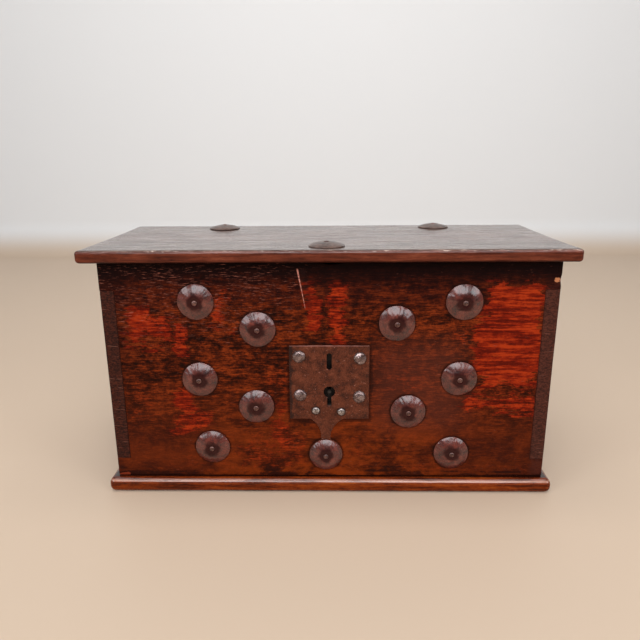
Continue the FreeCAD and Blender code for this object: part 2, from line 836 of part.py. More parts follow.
def back_strap(label, x):
    """The strap down the outside of the back board, with the middle knuckle and a round end."""
    half = dim("strap_width") / 2
    drop = dim("back_strap_drop")
    leaf = primitive(
        "Box", label + "_leaf", Length=dim("strap_width"), Width=dim("strap_thickness"), Height=drop - half
    )
    place(leaf, x - half, back_face, hinge_z - drop + half)
    round_end = primitive("Cylinder", label + "_end", Radius=half, Height=dim("strap_thickness"))
    place(round_end, x, back_face, hinge_z - drop + half, **OUT_OF_BACK)
    middle = knuckle(label + "_middle", dim("knuckle_radius"), knuckle_length, x)
    clearance = dim("knuckle_radius") + dim("knuckle_gap")
    outer = half - knuckle_length / 2
    gap_length = knuckle_length + 2 * dim("knuckle_gap")
    gaps = [
        knuckle("%s_gap_%d" % (label, number), clearance, gap_length, x + (outer + dim("knuckle_gap")) * side)
        for number, side in enumerate((-1, 1))
    ]
    bore = knuckle(label + "_bore", dim("hinge_pin_radius"), dim("strap_width"), x)
    holes = []
    for number, z in enumerate(back_nail_heights):
        hole = primitive(
            "Cylinder", "%s_hole_%d" % (label, number),
            Radius=dim("strap_nail_radius") + dim("nail_clearance"),
            Height=dim("strap_thickness") * 3,
        )
        place(hole, x, back_face - dim("strap_thickness"), z, **OUT_OF_BACK)
        holes.append(hole)
    solid = fused(label + "_solid", [leaf, round_end, middle])
    strap = cut(label, solid, gaps + [bore] + holes)
    strap.Label = label
    return strap


def hinge_pin(label, x):
    """The hinge pin, hammered out to a small head at each end."""
    length = dim("strap_width") + 2 * dim("hinge_pin_end_play")
    shank = knuckle(label + "_shank", dim("hinge_pin_radius"), length, x)
    head_length = dim("hinge_pin_head_length")
    offset = length / 2 + head_length / 2
    heads = [
        knuckle("%s_head_%d" % (label, number), dim("hinge_pin_head_radius"), head_length, x + offset * side)
        for number, side in enumerate((-1, 1))
    ]
    pin = fused(label, [shank] + heads)
    pin.Label = label
    return pin


for side, x in hinge_places.items():
    parts.append(lid_strap("hinge_%s_lid_strap" % side, x))
    parts.append(back_strap("hinge_%s_back_strap" % side, x))
    parts.append(hinge_pin("hinge_%s_pin" % side, x))


# ---------------------------------------------------------------- lock

slot_z = plate_z + dim("staple_slot_up")
keyhole_z = plate_z + dim("keyhole_up")
case_inside_back = front_face + dim("case_depth") - dim("case_wall")
bolt_back = case_inside_back - dim("bolt_play")
bolt_tip = plate_x - dim("staple_slot_width") / 2 - dim("bolt_slot_gap")
bolt_low = slot_z - dim("bolt_height") / 2
bolt_high = slot_z + dim("bolt_height") / 2


def lock_plate():
    """The plate on the front, with a tail down to the lowest boss, a staple slot and a keyhole."""
    body = new_body("lock_plate")
    right = plate_x + dim("plate_width") / 2
    left = plate_x - dim("plate_width") / 2
    top = plate_z + dim("plate_height") / 2
    bottom = plate_z - dim("plate_height") / 2
    tail_middle = plate_x + dim("tail_shift")
    neck_middle = plate_x + dim("neck_shift")
    tail_left = tail_middle - dim("tail_width") / 2
    tail_right = tail_middle + dim("tail_width") / 2
    neck_left = neck_middle - dim("neck_width") / 2
    neck_right = neck_middle + dim("neck_width") / 2
    neck_z = bottom - dim("neck_drop")
    sketch = new_sketch(body, "XZ_Plane")
    draw_outline(sketch, [
        (left, top), (left, bottom), (tail_left, bottom), (neck_left, neck_z), (neck_left, tail_z),
        (neck_right, tail_z), (neck_right, neck_z), (tail_right, bottom), (right, bottom), (right, top),
    ], {2: -dim("neck_curve"), 6: -dim("neck_curve")})
    pad(body, sketch, dim("plate_thickness"), backwards=True)
    pad_end = new_sketch(body, "XZ_Plane")
    draw_circle(pad_end, tail_x, tail_z, dim("tail_pad_radius"))
    pad(body, pad_end, dim("plate_thickness"), backwards=True)
    thickness = dim("plate_thickness")
    slot = new_sketch(body, "XZ_Plane")
    half = dim("staple_slot_width") / 2
    rise = dim("staple_slot_height") / 2
    draw_outline(slot, box_corners(plate_x - half, slot_z - rise, plate_x + half, slot_z + rise))
    pocket(body, slot, thickness)
    drill(body, "XZ_Plane", 0, [(plate_x, keyhole_z)], dim("keyhole_radius"), thickness)
    key_tail = new_sketch(body, "XZ_Plane")
    half = dim("keyhole_tail_width") / 2
    low = keyhole_z - dim("keyhole_tail_drop")
    draw_outline(key_tail, box_corners(plate_x - half, low, plate_x + half, keyhole_z))
    pocket(body, key_tail, thickness)
    clearance = dim("nail_clearance")
    drill(body, "XZ_Plane", 0, plate_nail_places, dim("plate_nail_radius") + clearance, thickness)
    drill(body, "XZ_Plane", 0, rivet_places, dim("rivet_radius"), thickness)
    drill(body, "XZ_Plane", 0, [(tail_x, tail_z)], nail_hole, thickness)
    place(body, depth=plate_front)
    return body


def lock_case():
    """The case: a tray open to the front, with a flange below that the rivets hold to the plate."""
    body = new_body("lock_case")
    half = dim("case_width") / 2
    wall = dim("case_wall")
    low = dim("case_bottom")
    high = dim("case_top")
    tray = new_sketch(body, "XZ_Plane")
    draw_outline(tray, box_corners(plate_x - half, low, plate_x + half, high))
    pad(body, tray, dim("case_depth"), backwards=True)
    hollow = new_sketch(body, "XZ_Plane")
    draw_outline(hollow, box_corners(plate_x - half + wall, low + wall, plate_x + half - wall, high - wall))
    pocket(body, hollow, dim("case_depth") - wall)
    flange = new_sketch(body, "XZ_Plane")
    draw_outline(flange, box_corners(plate_x - half, dim("flange_bottom"), plate_x + half, low))
    pad(body, flange, wall, backwards=True)
    drill(body, "XZ_Plane", 0, rivet_places, dim("rivet_radius"), wall)
    place(body, depth=front_face)
    return body


def lock_bolt():
    """The bolt. Its bar crosses the staple slot when thrown, and its foot has a talon for the key."""
    body = new_body("lock_bolt")
    tail_end = bolt_tip - dim("bolt_length")
    stem_left = bolt_tip - dim("bolt_stem_width")
    foot_right = stem_left + dim("bolt_foot_width")
    stem_low = bolt_low - dim("bolt_stem_height")
    foot_low = stem_low - dim("bolt_foot_height")
    talon_top = foot_low + dim("talon_depth")
    talon_left = stem_left + (dim("bolt_foot_width") - dim("talon_width")) / 2
    talon_right = talon_left + dim("talon_width")
    sketch = new_sketch(body, "XZ_Plane")
    draw_outline(sketch, [
        (tail_end, bolt_high), (tail_end, bolt_low), (stem_left, bolt_low), (stem_left, foot_low),
        (talon_left, foot_low), (talon_left, talon_top), (talon_right, talon_top), (talon_right, foot_low),
        (foot_right, foot_low), (foot_right, stem_low), (bolt_tip, stem_low), (bolt_tip, bolt_high),
    ])
    pad(body, sketch, dim("bolt_thickness"), backwards=True)
    place(body, depth=bolt_back - dim("bolt_thickness"))
    return body


def bolt_keepers():
    """Two bridges on the case's back wall. The bolt slides through one and is thrown into the other."""
    play = dim("bolt_play")
    wall = dim("keeper_wall")
    height = dim("bolt_height") + 2 * play + 2 * wall
    reach = dim("bolt_thickness") + 2 * play + wall
    block = primitive("Box", "keeper_block", Length=dim("keeper_width"), Width=reach, Height=height)
    opening = primitive(
        "Box", "keeper_opening", Length=dim("keeper_width") + 2, Width=reach - wall,
        Height=dim("bolt_height") + 2 * play,
    )
    place(opening, -1, wall, wall)
    keeper = cut("keeper", block, [opening])
    left = plate_x - dim("keeper_spread") / 2 - dim("keeper_width") / 2
    copies = [
        dict(across=left + shift, depth=case_inside_back - reach, up=bolt_low - play - wall)
        for shift in (0, dim("keeper_spread"))
    ]
    return group("lock_bolt_keepers", keeper, copies)


def lock_spring():
    """A bowed leaf from the case's upper corner down to the bolt, which keeps it where it is put."""
    body = new_body("lock_spring")
    thick = dim("spring_thickness")
    top = dim("case_top") - dim("case_wall")
    left = plate_x - dim("case_width") / 2 + dim("case_wall")
    tip = left + dim("spring_length")
    low = bolt_high + dim("spring_gap")
    sketch = new_sketch(body, "XZ_Plane")
    draw_outline(
        sketch,
        [(left, top - thick), (tip, low), (tip, low + thick), (left, top)],
        {0: -dim("spring_curve"), 2: dim("spring_curve")},
    )
    pad(body, sketch, dim("spring_width"), backwards=True)
    place(body, depth=case_inside_back - dim("spring_width"))
    return body


def drill_pin():
    """The pin in the middle of the keyhole that a hollow key fits over."""
    body = new_body("lock_drill_pin")
    sketch = new_sketch(body, "XZ_Plane")
    draw_circle(sketch, plate_x, keyhole_z, dim("drill_pin_radius"))
    pad(body, sketch, case_inside_back - front_face + dim("plate_thickness") / 2, backwards=True)
    place(body, depth=front_face - dim("plate_thickness") / 2)
    return body


parts.append(lock_plate())
parts.append(lock_case())
parts.append(lock_bolt())
parts.append(bolt_keepers())
parts.append(lock_spring())
parts.append(drill_pin())


# ---------------------------------------------------------------- checks and export

doc.recompute()
for thing in doc.Objects:
    if "Invalid" in thing.State or "Error" in thing.State:
        raise RuntimeError("%s is in state %s" % (thing.Label, thing.State))
for part in parts:
    if part.Shape.isNull() or not part.Shape.isValid() or not part.Shape.Solids:
        raise RuntimeError("%s has no valid solid" % part.Label)
    part.Shape.exportStep("parts/%s.step" % part.Label)
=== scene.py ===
import itertools
import math
from collections import namedtuple

import bpy
import numpy as np
from mathutils import Matrix, Vector


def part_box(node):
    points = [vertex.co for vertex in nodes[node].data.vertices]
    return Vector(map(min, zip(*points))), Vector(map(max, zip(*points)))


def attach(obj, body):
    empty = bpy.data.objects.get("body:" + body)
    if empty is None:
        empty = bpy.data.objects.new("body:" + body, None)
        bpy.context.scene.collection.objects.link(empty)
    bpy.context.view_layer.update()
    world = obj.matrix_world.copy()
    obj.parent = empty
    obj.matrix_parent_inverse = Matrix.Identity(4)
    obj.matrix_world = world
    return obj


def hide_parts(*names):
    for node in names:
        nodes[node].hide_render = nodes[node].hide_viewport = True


# The looks of an old hardwood money box: planks with worn edges under dark varnish, and forged
# iron bosses, plate and hinges. Lengths are in metres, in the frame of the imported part: the
# origin is on the floor under the middle of the lid, +Z is up and the front faces -Y.

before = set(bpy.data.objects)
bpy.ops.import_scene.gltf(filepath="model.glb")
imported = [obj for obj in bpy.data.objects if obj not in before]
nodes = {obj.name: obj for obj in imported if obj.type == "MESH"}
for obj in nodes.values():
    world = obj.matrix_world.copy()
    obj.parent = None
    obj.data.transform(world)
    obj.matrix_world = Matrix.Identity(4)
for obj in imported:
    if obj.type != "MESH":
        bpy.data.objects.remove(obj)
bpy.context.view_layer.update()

MM = 0.001
CRISP_ANGLE = math.radians(40)      # an edge sharper than this is not shaded smooth
BOARD_THICKNESS = 0.018             # of the upright boards
TONGUE_LOW = 0.046                  # the side boards' tongues lie between these two heights
TONGUE_HIGH = 0.275
TONGUE_PLAY = 0.0004                # the gap round a tongue
BEYOND = 0.01                       # how far a cutter reaches past what it cuts
FRONT_BOSSES = ["front_boss_%02d" % number for number in range(1, 12)]
LID_BOSSES = ["lid_boss_front", "lid_boss_rear_left", "lid_boss_rear_right"]


# ---------------- numbers from places

def lattice(cells, seed):
    """A number from -1 to 1 for each whole-numbered cell, always the same for the same cell."""
    mixed = cells[..., 0] * 73856093 ^ cells[..., 1] * 19349663 ^ cells[..., 2] * 83492791
    mixed = (mixed ^ (seed * 374761393)) & 0x7FFFFFFF
    mixed = ((mixed ^ (mixed >> 13)) * 1274126177) & 0x7FFFFFFF
    mixed = ((mixed ^ (mixed >> 16)) * 668265263) & 0x7FFFFFFF
    return (mixed ^ (mixed >> 15)) / float(0x3FFFFFFF) - 1.0


def noise(points, size, seed):
    """Smooth noise from -1 to 1. size is how far it takes to change, along each axis."""
    scaled = points / np.array(size)
    cells = np.floor(scaled).astype(np.int64)
    part = scaled - cells
    part = part * part * (3 - 2 * part)
    total = np.zeros(len(points))
    for corner in np.ndindex(2, 2, 2):
        weight = np.where(np.array(corner) == 1, part, 1 - part).prod(axis=1)
        total += weight * lattice(cells + np.array(corner), seed)
    return total


def smooth_step(value, low, high):
    """0 below low, 1 above high, and a smooth rise between them."""
    share = np.clip((value - low) / (high - low), 0, 1)
    return share * share * (3 - 2 * share)


# ---------------- meshes

def add_object(name, data):
    """A new object in the scene."""
    thing = bpy.data.objects.new(name, data)
    bpy.context.scene.collection.objects.link(thing)
    return thing


def shade_smooth(mesh):
    """Smooth shading, but for the crisp edges."""
    mesh.polygons.foreach_set("use_smooth", [True] * len(mesh.polygons))
    mesh.set_sharp_from_angle(angle=CRISP_ANGLE)


def cover(mesh, material):
    """Give a mesh one material."""
    mesh.materials.clear()
    mesh.materials.append(material)


def new_mesh(name, points, faces):
    """A mesh from rows of points and faces."""
    mesh = bpy.data.meshes.new(name)
    mesh.from_pydata([tuple(point) for point in points], [], [tuple(face) for face in faces])
    mesh.update()
    return mesh


def add_piece(name, mesh, body, node):
    """A finished mesh as a piece of the object, in place of a CAD node."""
    shade_smooth(mesh)
    piece = add_object(name, mesh)
    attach(piece, body)
    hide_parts(node)
    return piece


def edge_stops(low, high, radius, step):
    """Grid lines across one side of a board: close together over its round edges."""
    curve = [radius * (1 - math.tan(math.radians(45 - angle))) for angle in (0, 12, 24, 35)]
    middle_count = max(1, round((high - low - 2 * radius) / step))
    middle = np.linspace(low + radius, high - radius, middle_count + 1)
    ends = [low + distance for distance in curve]
    return np.array(ends + list(middle) + [high + low - end for end in reversed(ends)])


def box_surface(stops):
    """The points and faces of a box's surface, cut along grid lines on its three axes."""
    counts = [len(line) for line in stops]
    places = np.stack(np.meshgrid(*[np.arange(count) for count in counts], indexing="ij"), axis=-1)
    last = np.array(counts) - 1
    outside = ((places == 0) | (places == last)).any(axis=-1)
    index = np.full(counts, -1)
    index[outside] = np.arange(outside.sum())
    found = places[outside]
    points = np.stack([stops[axis][found[:, axis]] for axis in range(3)], axis=-1)
    faces = []
    for axis in range(3):
        for level in (0, last[axis]):
            sheet = np.take(index, level, axis=axis)
            loop = [sheet[:-1, :-1], sheet[1:, :-1], sheet[1:, 1:], sheet[:-1, 1:]]
            if (level == 0) != (axis == 1):
                loop.reverse()
            faces.append(np.stack([corner.ravel() for corner in loop], axis=-1))
    return points, np.concatenate(faces)


def rounded_board(low, high, radius, steps):
    """A board's points, outward directions and faces, with round edges and corners."""
    stops = [edge_stops(low[axis], high[axis], radius, steps[axis]) for axis in range(3)]
    points, faces = box_surface(stops)
    core = np.clip(points, low + radius, high - radius)
    out = points - core
    out /= np.linalg.norm(out, axis=1)[:, None]
    return core + out * radius, out, faces


def carve(piece, cutters):
    """Cut closed meshes out of a piece, and take the cutters away."""
    for number, cutter in enumerate(cutters):
        modifier = piece.modifiers.new("cut_%d" % number, "BOOLEAN")
        modifier.operation = "DIFFERENCE"
        modifier.solver = "EXACT"
        modifier.object = cutter
    graph = bpy.context.evaluated_depsgraph_get()
    carved = bpy.data.meshes.new_from_object(piece.evaluated_get(graph))
    piece.modifiers.clear()
    piece.data = carved
    for cutter in cutters:
        bpy.data.objects.remove(cutter)
    shade_smooth(carved)


def cutter_box(low, high):
    """A plain box to cut with."""
    corners = itertools.product(*zip(low, high))
    faces = [(0, 1, 3, 2), (4, 6, 7, 5), (0, 4, 5, 1), (2, 3, 7, 6), (0, 2, 6, 4), (1, 5, 7, 3)]
    return add_object("cutter", new_mesh("cutter", corners, faces))


def cutter_bar(start, end, radius, sides=32):
    """A round bar to cut with, from one point to another along an axis."""
    start = np.array(start, float)
    end = np.array(end, float)
    along = int(np.argmax(np.abs(end - start)))
    first, second = [axis for axis in range(3) if axis != along]
    points = []
    for middle in (start, end):
        for side in range(sides):
            turn = 2 * math.pi * side / sides
            point = middle.copy()
            point[first] += radius * math.cos(turn)
            point[second] += radius * math.sin(turn)
            points.append(point)
    faces = [tuple(range(sides)), tuple(range(2 * sides - 1, sides - 1, -1))]
    for side in range(sides):
        after = (side + 1) % sides
        faces.append((after, side, sides + side, sides + after))
    return add_object("cutter", new_mesh("cutter", points, faces))


# ---------------- material graphs

def rgb(red, green, blue):
    """A colour as the eye reads it, from 0 to 255, turned into linear light."""
    shares = [value / 255 for value in (red, green, blue)]
    return tuple(s / 12.92 if s < 0.04045 else ((s + 0.055) / 1.055) ** 2.4 for s in shares)


def colour(value):
    """A colour with an alpha of 1, or a socket as it is."""
    if isinstance(value, (tuple, list)) and len(value) == 3:
        return (*value, 1.0)
    return value


def even(length):
    """One size on all three axes."""
    return (length,) * 3


def grain(along, length, width):
    """How far streaks reach on each axis, for a grain that runs along one of them."""
    return tuple(length if axis == along else width for axis in "XYZ")


Point = namedtuple("Point", "x y z")
Layers = namedtuple("Layers", "streak pore blotch mottle")


class Graph:
    """A material's node tree, with short ways to add what the materials here need."""

    def __init__(self, name):
        self.material = bpy.data.materials.new(name)
        self.material.use_nodes = True
        self.tree = self.material.node_tree
        self.tree.nodes.clear()

    def put(self, socket, value):
        """Give a socket a link or a constant."""
        if isinstance(value, bpy.types.NodeSocket):
            self.tree.links.new(value, socket)
        elif value is not None:
            socket.default_value = value

    def add(self, kind, **inputs):
        """A new node. Its inputs are named by their socket, with _ for a space."""
        node = self.tree.nodes.new("ShaderNode" + kind)
        for name, value in inputs.items():
            self.put(node.inputs[name.replace("_", " ")], value)
        return node

    def place(self):
        """The point in the part's own frame."""
        return self.add("TexCoord").outputs["Object"]

    def parts(self, place):
        """A point's x, y and z."""
        return Point(*self.add("SeparateXYZ", Vector=place).outputs)

    def noise(self, place, size, detail, roughness, distortion=0.0, shift=(0, 0, 0)):
        """Noise from 0 to 1 that takes about size to change, along each axis."""
        scale = [1 / length for length in size]
        mapping = self.add("Mapping", Vector=place, Scale=scale, Location=shift)
        node = self.add("TexNoise", Vector=mapping.outputs["Vector"], Scale=1, Detail=detail,
                        Roughness=roughness, Distortion=distortion)
        return node.outputs["Fac"]

    def math(self, operation, first, second=0.0):
        node = self.add("Math")
        node.operation = operation
        self.put(node.inputs[0], first)
        self.put(node.inputs[1], second)
        return node.outputs["Value"]

    def plus(self, first, second):
        return self.math("ADD", first, second)

    def minus(self, first, second):
        return self.math("SUBTRACT", first, second)

    def times(self, first, second):
        return self.math("MULTIPLY", first, second)

    def apart(self, value, middle=0.0):
        """How far a value is from a middle, either way."""
        return self.math("ABSOLUTE", self.minus(value, middle))

    def sway(self, value, amount):
        """How far a noise is from its middle of 0.5, amount times over."""
        return self.times(self.minus(value, 0.5), amount)

    def fold(self, operation, values):
        """One operation all along a list of values."""
        total = values[0]
        for value in values[1:]:
            total = self.math(operation, total, value)
        return total

    def weigh(self, layers, weights):
        """The layers added up with a weight each."""
        return self.fold("ADD", [self.times(*pair) for pair in zip(layers, weights)])

    def distance(self, at, across, up, tall=1.0):
        """How far a point is from (across, up), seen from the front, with heights times tall."""
        beside = self.minus(at.x, across)
        above = self.times(self.minus(at.z, up), tall)
        return self.math("SQRT", self.plus(self.math("POWER", beside, 2), self.math("POWER", above, 2)))

    def spread(self, value, low, high, to_low=0.0, to_high=1.0):
        """Map low..high to to_low..to_high smoothly, and hold the ends."""
        node = self.add("MapRange")
        node.interpolation_type = "SMOOTHSTEP"
        for socket, number in zip(node.inputs, (value, low, high, to_low, to_high)):
            self.put(socket, number)
        return node.outputs["Result"]

    def fade(self, value, low, high, most=1.0):
        """The most below low, 0 above high, and a smooth fall between them."""
        return self.spread(value, low, high, most, 0.0)

    def mix(self, share, first, second, kind="RGBA"):
        """Between two colours, or with a kind of FLOAT between two numbers."""
        node = self.add("Mix")
        node.data_type = kind
        self.put(node.inputs["Factor"], share)
        self.put(node.inputs["A"], colour(first))
        self.put(node.inputs["B"], colour(second))
        return node.outputs["Result"]

    def stain(self, tone, mask, shade, strength=1.0):
        """A tone with a shade of 0 to 255 laid over it where the mask is 1."""
        return self.mix(self.times(mask, strength), tone, rgb(*shade))

    def ramp(self, value, *stops):
        """A colour that runs through (place, red, green, blue) stops as value rises."""
        node = self.add("ValToRGB", Fac=value)
        while len(node.color_ramp.elements) < len(stops):
            node.color_ramp.elements.new(0.5)
        for element, (position, *shade) in zip(node.color_ramp.elements, stops):
            element.position = position
            element.color = colour(rgb(*shade))
        return node.outputs["Color"]

    def bump(self, height, strength, distance):
        """A surface direction that follows a height."""
        return self.add("Bump", Height=height, Strength=strength, Distance=distance).outputs["Normal"]

    def surface(self, base, roughness, normal, **constants):
        """A Principled surface. Constants are named by their socket, with _ for a space."""
        shader = self.add("BsdfPrincipled", Base_Color=base, Roughness=roughness, Normal=normal,
                          **constants)
        self.add("OutputMaterial", Surface=shader.outputs["BSDF"])
        return self.material


# ---------------- wood

# Where the varnish on the front has worn through to a brighter red: x0, x1, z0, z1 in mm, the
# width of the blurred edge in mm, and how strong it is.
WORN_RED = (
    (200, 268, 150, 284, 3, 1.35),
    (182, 215, 158, 252, 7, 1.2),
    (150, 205, 205, 226, 8, 0.6),
    (178, 262, 114, 136, 4, 1.0),
    (188, 268, 132, 154, 6, 0.6),
    (-258, -226, 200, 256, 9, 1.2),
    (-232, -196, 208, 242, 8, 1.1),
    (-152, -124, 222, 276, 9, 0.9),
    (-193, -186, 196, 234, 2, 1.1),
    (-210, -172, 108, 150, 12, 1.1),
    (-208, -152, 84, 114, 12, 1.0),
    (-262, -220, 96, 150, 10, 0.45),
    (-29, -13, 222, 284, 4, 1.25),
    (1, 22, 204, 286, 6, 1.1),
    (-86, -46, 136, 176, 12, 0.55),
    (-76, -52, 56, 128, 10, 0.85),
    (-124, -24, 28, 84, 18, 0.65),
    (72, 130, 136, 170, 14, 0.45),
    (103, 135, 216, 224, 4, 0.5),
    (24, 48, 48, 86, 12, 0.5),
    (110, 262, 22, 42, 10, 0.4),
    (-230, -120, 22, 60, 16, 0.25),
)

# Pale broken wood on the front: x, z, radius, how much flatter than wide it is, and its colour.
CHIPS = (
    (0.2790, 0.2870, 0.0036, 1.3, (176, 112, 76)),
    (-0.276, 0.0215, 0.0062, 2.2, (116, 44, 24)),
)


def begin_wood(name, along):
    """A graph, the point, its x, y and z, and the layers of a wood with its grain along an axis.

    The layers are streaks, pores and two sizes of blotches, each a number round 0.5.
    """
    graph = Graph(name)
    place = graph.place()
    layers = Layers(
        streak=graph.noise(place, grain(along, 0.055, 0.0036), 5, 0.64, 0.12),
        pore=graph.noise(place, grain(along, 0.009, 0.0008), 4, 0.66),
        blotch=graph.noise(place, grain(along, 0.055, 0.034), 7, 0.70, 0.35),
        mottle=graph.noise(place, grain(along, 0.010, 0.0065), 6, 0.74))
    return graph, place, graph.parts(place), layers


def inside_mask(graph, at):
    """1 on the faces that look into the box, where there is no varnish."""
    inner_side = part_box("right_side_board")[0][0]
    inner_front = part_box("front_board")[1][1]
    inner_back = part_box("back_board")[0][1]
    middle = (inner_front + inner_back) / 2
    half = (inner_back - inner_front) / 2
    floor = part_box("bottom_board")[1][2]
    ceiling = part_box("lid_board")[0][2]
    across = graph.fade(graph.apart(at.x), inner_side, inner_side + 0.0004)
    deep = graph.fade(graph.apart(at.y, middle), half + 0.0003, half + 0.0007)
    below = graph.math("LESS_THAN", at.z, ceiling + 0.0015)
    above = graph.math("GREATER_THAN", at.z, floor - 0.0010)
    return graph.fold("MULTIPLY", (across, deep, below, above))


def finish_wood(graph, at, tone, layers, rough, gloss, relief=1.0, shine=0.12):
    """Bare wood inside the box, the grain's relief, and the surface."""
    inside = inside_mask(graph, at)
    bare = graph.ramp(graph.weigh(layers, (0.4, 0.3, 0.3)),
                      (0.38, 74, 50, 34), (0.5, 112, 80, 54), (0.62, 140, 104, 72))
    tone = graph.mix(inside, tone, bare)
    rough = graph.mix(inside, rough, 0.68, "FLOAT")
    height = graph.weigh((layers.streak, layers.pore, layers.mottle), (0.5, 0.35, 0.3))
    normal = graph.bump(height, 0.42 * relief, 0.0011)
    return graph.surface(tone, rough, normal, Coat_Weight=gloss, Coat_Roughness=0.14, IOR=1.5,
                         Specular_IOR_Level=shine)


def front_wood():
    """The front: red varnish gone nearly black, worn through to bright red in places."""
    graph, place, at, layers = begin_wood("front_varnish", "X")
    wobble = graph.plus(graph.sway(layers.blotch, 0.075), graph.sway(layers.streak, 0.050))
    worn = worn_mask(graph, at, wobble)
    shade = graph.weigh(layers, (0.17, 0.29, 0.22, 0.34))
    tone = graph.ramp(shade, (0.46, 24, 6, 3), (0.503, 58, 18, 5), (0.54, 88, 30, 8), (0.585, 122, 46, 14))
    tone = vary_varnish(graph, tone, at, layers)
    tone = add_worn_red(graph, tone, layers, worn)
    tone = add_dark_ends_and_lid_shadow(graph, tone, at, layers, worn)
    tone = add_grime_and_contact_shade(graph, tone, at, wobble)
    # Grime and painted shade along the foot, where the front meets the base.
    foot = graph.fade(graph.plus(at.z, wobble), 0.0195, 0.0245, 0.75)
    tone = graph.stain(tone, foot, (34, 12, 8))
    tone = add_painted_glints(graph, tone, place, at)
    tone = add_scratch(graph, tone, at, layers.streak)
    tone = add_chips(graph, tone, at, layers.mottle)
    rough = graph.plus(0.20, graph.times(layers.mottle, 0.42))
    return finish_wood(graph, at, tone, layers, rough, gloss=0.0, relief=1.2, shine=0.05)


def soft_box(graph, at, box, blur, wobble):
    """A mask that is 1 inside a box on the front, with ragged edges. box is x0, x1, z0, z1 in mm."""
    left, right, low, high = [edge * MM for edge in box]
    masks = []
    for value, start, end in ((at.x, left, right), (at.z, low, high)):
        ragged = graph.plus(graph.apart(value, (start + end) / 2), wobble)
        half = (end - start) / 2
        masks.append(graph.fade(ragged, half - blur * MM, half + blur * MM))
    return graph.times(*masks)


def worn_mask(graph, at, wobble):
    """How far the varnish has worn: the strongest of the WORN_RED boxes that reach a point."""
    masks = []
    for *box, blur, strength in WORN_RED:
        masks.append(graph.times(soft_box(graph, at, box, blur, wobble), strength))
    return graph.fold("MAXIMUM", masks)


def vary_varnish(graph, tone, at, layers):
    """Where the front is calmer, darker or warmer near its foot, with a painted milky reflection right of
    the middle.
    """
    aside = graph.apart(at.x)
    calm = graph.fade(at.z, 0.06, 0.19, 0.3)
    tone = graph.stain(tone, calm, (82, 30, 9))
    corner = graph.times(graph.spread(aside, 0.08, 0.19), graph.fade(at.z, 0.06, 0.14, 0.55))
    tone = graph.stain(tone, corner, (54, 17, 8))
    low = graph.times(graph.fade(at.z, 0.02, 0.17, 0.8), graph.spread(aside, 0.08, 0.19, 1.0, 0.35))
    warm = graph.times(low, graph.spread(layers.blotch, 0.40, 0.60))
    tone = graph.stain(tone, warm, (120, 46, 10))
    # Painted reflection: a milky haze laid into the colour right of the middle.
    reflected_haze = graph.times(graph.fade(graph.apart(at.x, 0.115), 0.03, 0.09, 0.4),
                       graph.fade(graph.apart(at.z, 0.15), 0.03, 0.09))
    return graph.stain(tone, reflected_haze, (98, 46, 32))


def add_worn_red(graph, tone, layers, worn):
    """Bright red where the varnish is worn, broken up along the grain."""
    red = graph.ramp(graph.weigh((layers.streak, layers.pore, layers.mottle), (0.5, 0.25, 0.25)),
                     (0.44, 76, 14, 5), (0.50, 116, 26, 7), (0.56, 154, 47, 14))
    torn = graph.sway(graph.weigh(layers, (0.20, 0.24, 0.18, 0.38)), 3.2)
    broken = graph.spread(graph.plus(graph.times(worn, 0.56), torn), 0.20, 0.66)
    return graph.mix(graph.times(broken, graph.math("MAXIMUM", worn, 0.35)), tone, red)


def add_dark_ends_and_lid_shadow(graph, tone, at, layers, worn):
    """Dark varnish at the left and right ends, and a painted shadow of the lid that darkens the front
    towards it.
    """
    left_end = graph.times(graph.fade(at.x, -0.284, -0.225), graph.spread(at.z, 0.12, 0.24))
    left_end = graph.times(left_end, graph.spread(layers.mottle, 0.40, 0.58))
    tone = graph.stain(tone, left_end, (26, 9, 6), 0.85)
    right_end = graph.times(graph.spread(at.x, 0.262, 0.272), graph.spread(layers.mottle, 0.35, 0.5))
    tone = graph.stain(tone, right_end, (62, 30, 24), 0.6)
    # Painted shadow of the lid: the front grows darker towards it, and nearly black just under it.
    lid_shadow_line = graph.plus(at.z, graph.sway(layers.blotch, 0.05))
    lid_shadow_fade = graph.times(graph.spread(lid_shadow_line, 0.238, 0.270), graph.fade(worn, 0.2, 0.9, 0.42))
    tone = graph.stain(tone, lid_shadow_fade, (34, 6, 7))
    return graph.stain(tone, graph.spread(lid_shadow_line, 0.272, 0.300), (14, 3, 3), 0.92)


def add_grime_and_contact_shade(graph, tone, at, wobble):
    """Dark wax, grime and painted contact shade gathered round the bosses and along the edges of the lock
    plate.
    """
    away = []
    for node in FRONT_BOSSES:
        low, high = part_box(node)
        away.append(graph.distance(at, (low[0] + high[0]) / 2, (low[2] + high[2]) / 2))
    ragged = graph.plus(graph.fold("MINIMUM", away), graph.times(wobble, 0.10))
    ring = graph.fade(ragged, 0.0222, 0.0262, 0.8)
    low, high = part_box("lock_plate_nails")
    beside, below, above = 0.0115, 0.0325, 0.012        # how far the plate reaches past its nails
    round_corner = 0.006
    past = []
    spans = ((at.x, low[0] - beside, high[0] + beside), (at.z, low[2] - below, high[2] + above))
    for value, start, end in spans:
        half = (end - start) / 2 - round_corner
        past.append(graph.minus(graph.apart(value, (start + end) / 2), half))
    ragged = graph.plus(graph.math("MAXIMUM", *past), graph.times(wobble, 0.12))
    border = graph.fade(ragged, 0.0008, 0.0034, 0.6)
    # The ring round each boss and the border round the plate are grime and painted contact shade.
    return graph.stain(tone, graph.math("MAXIMUM", ring, border), (28, 10, 6))


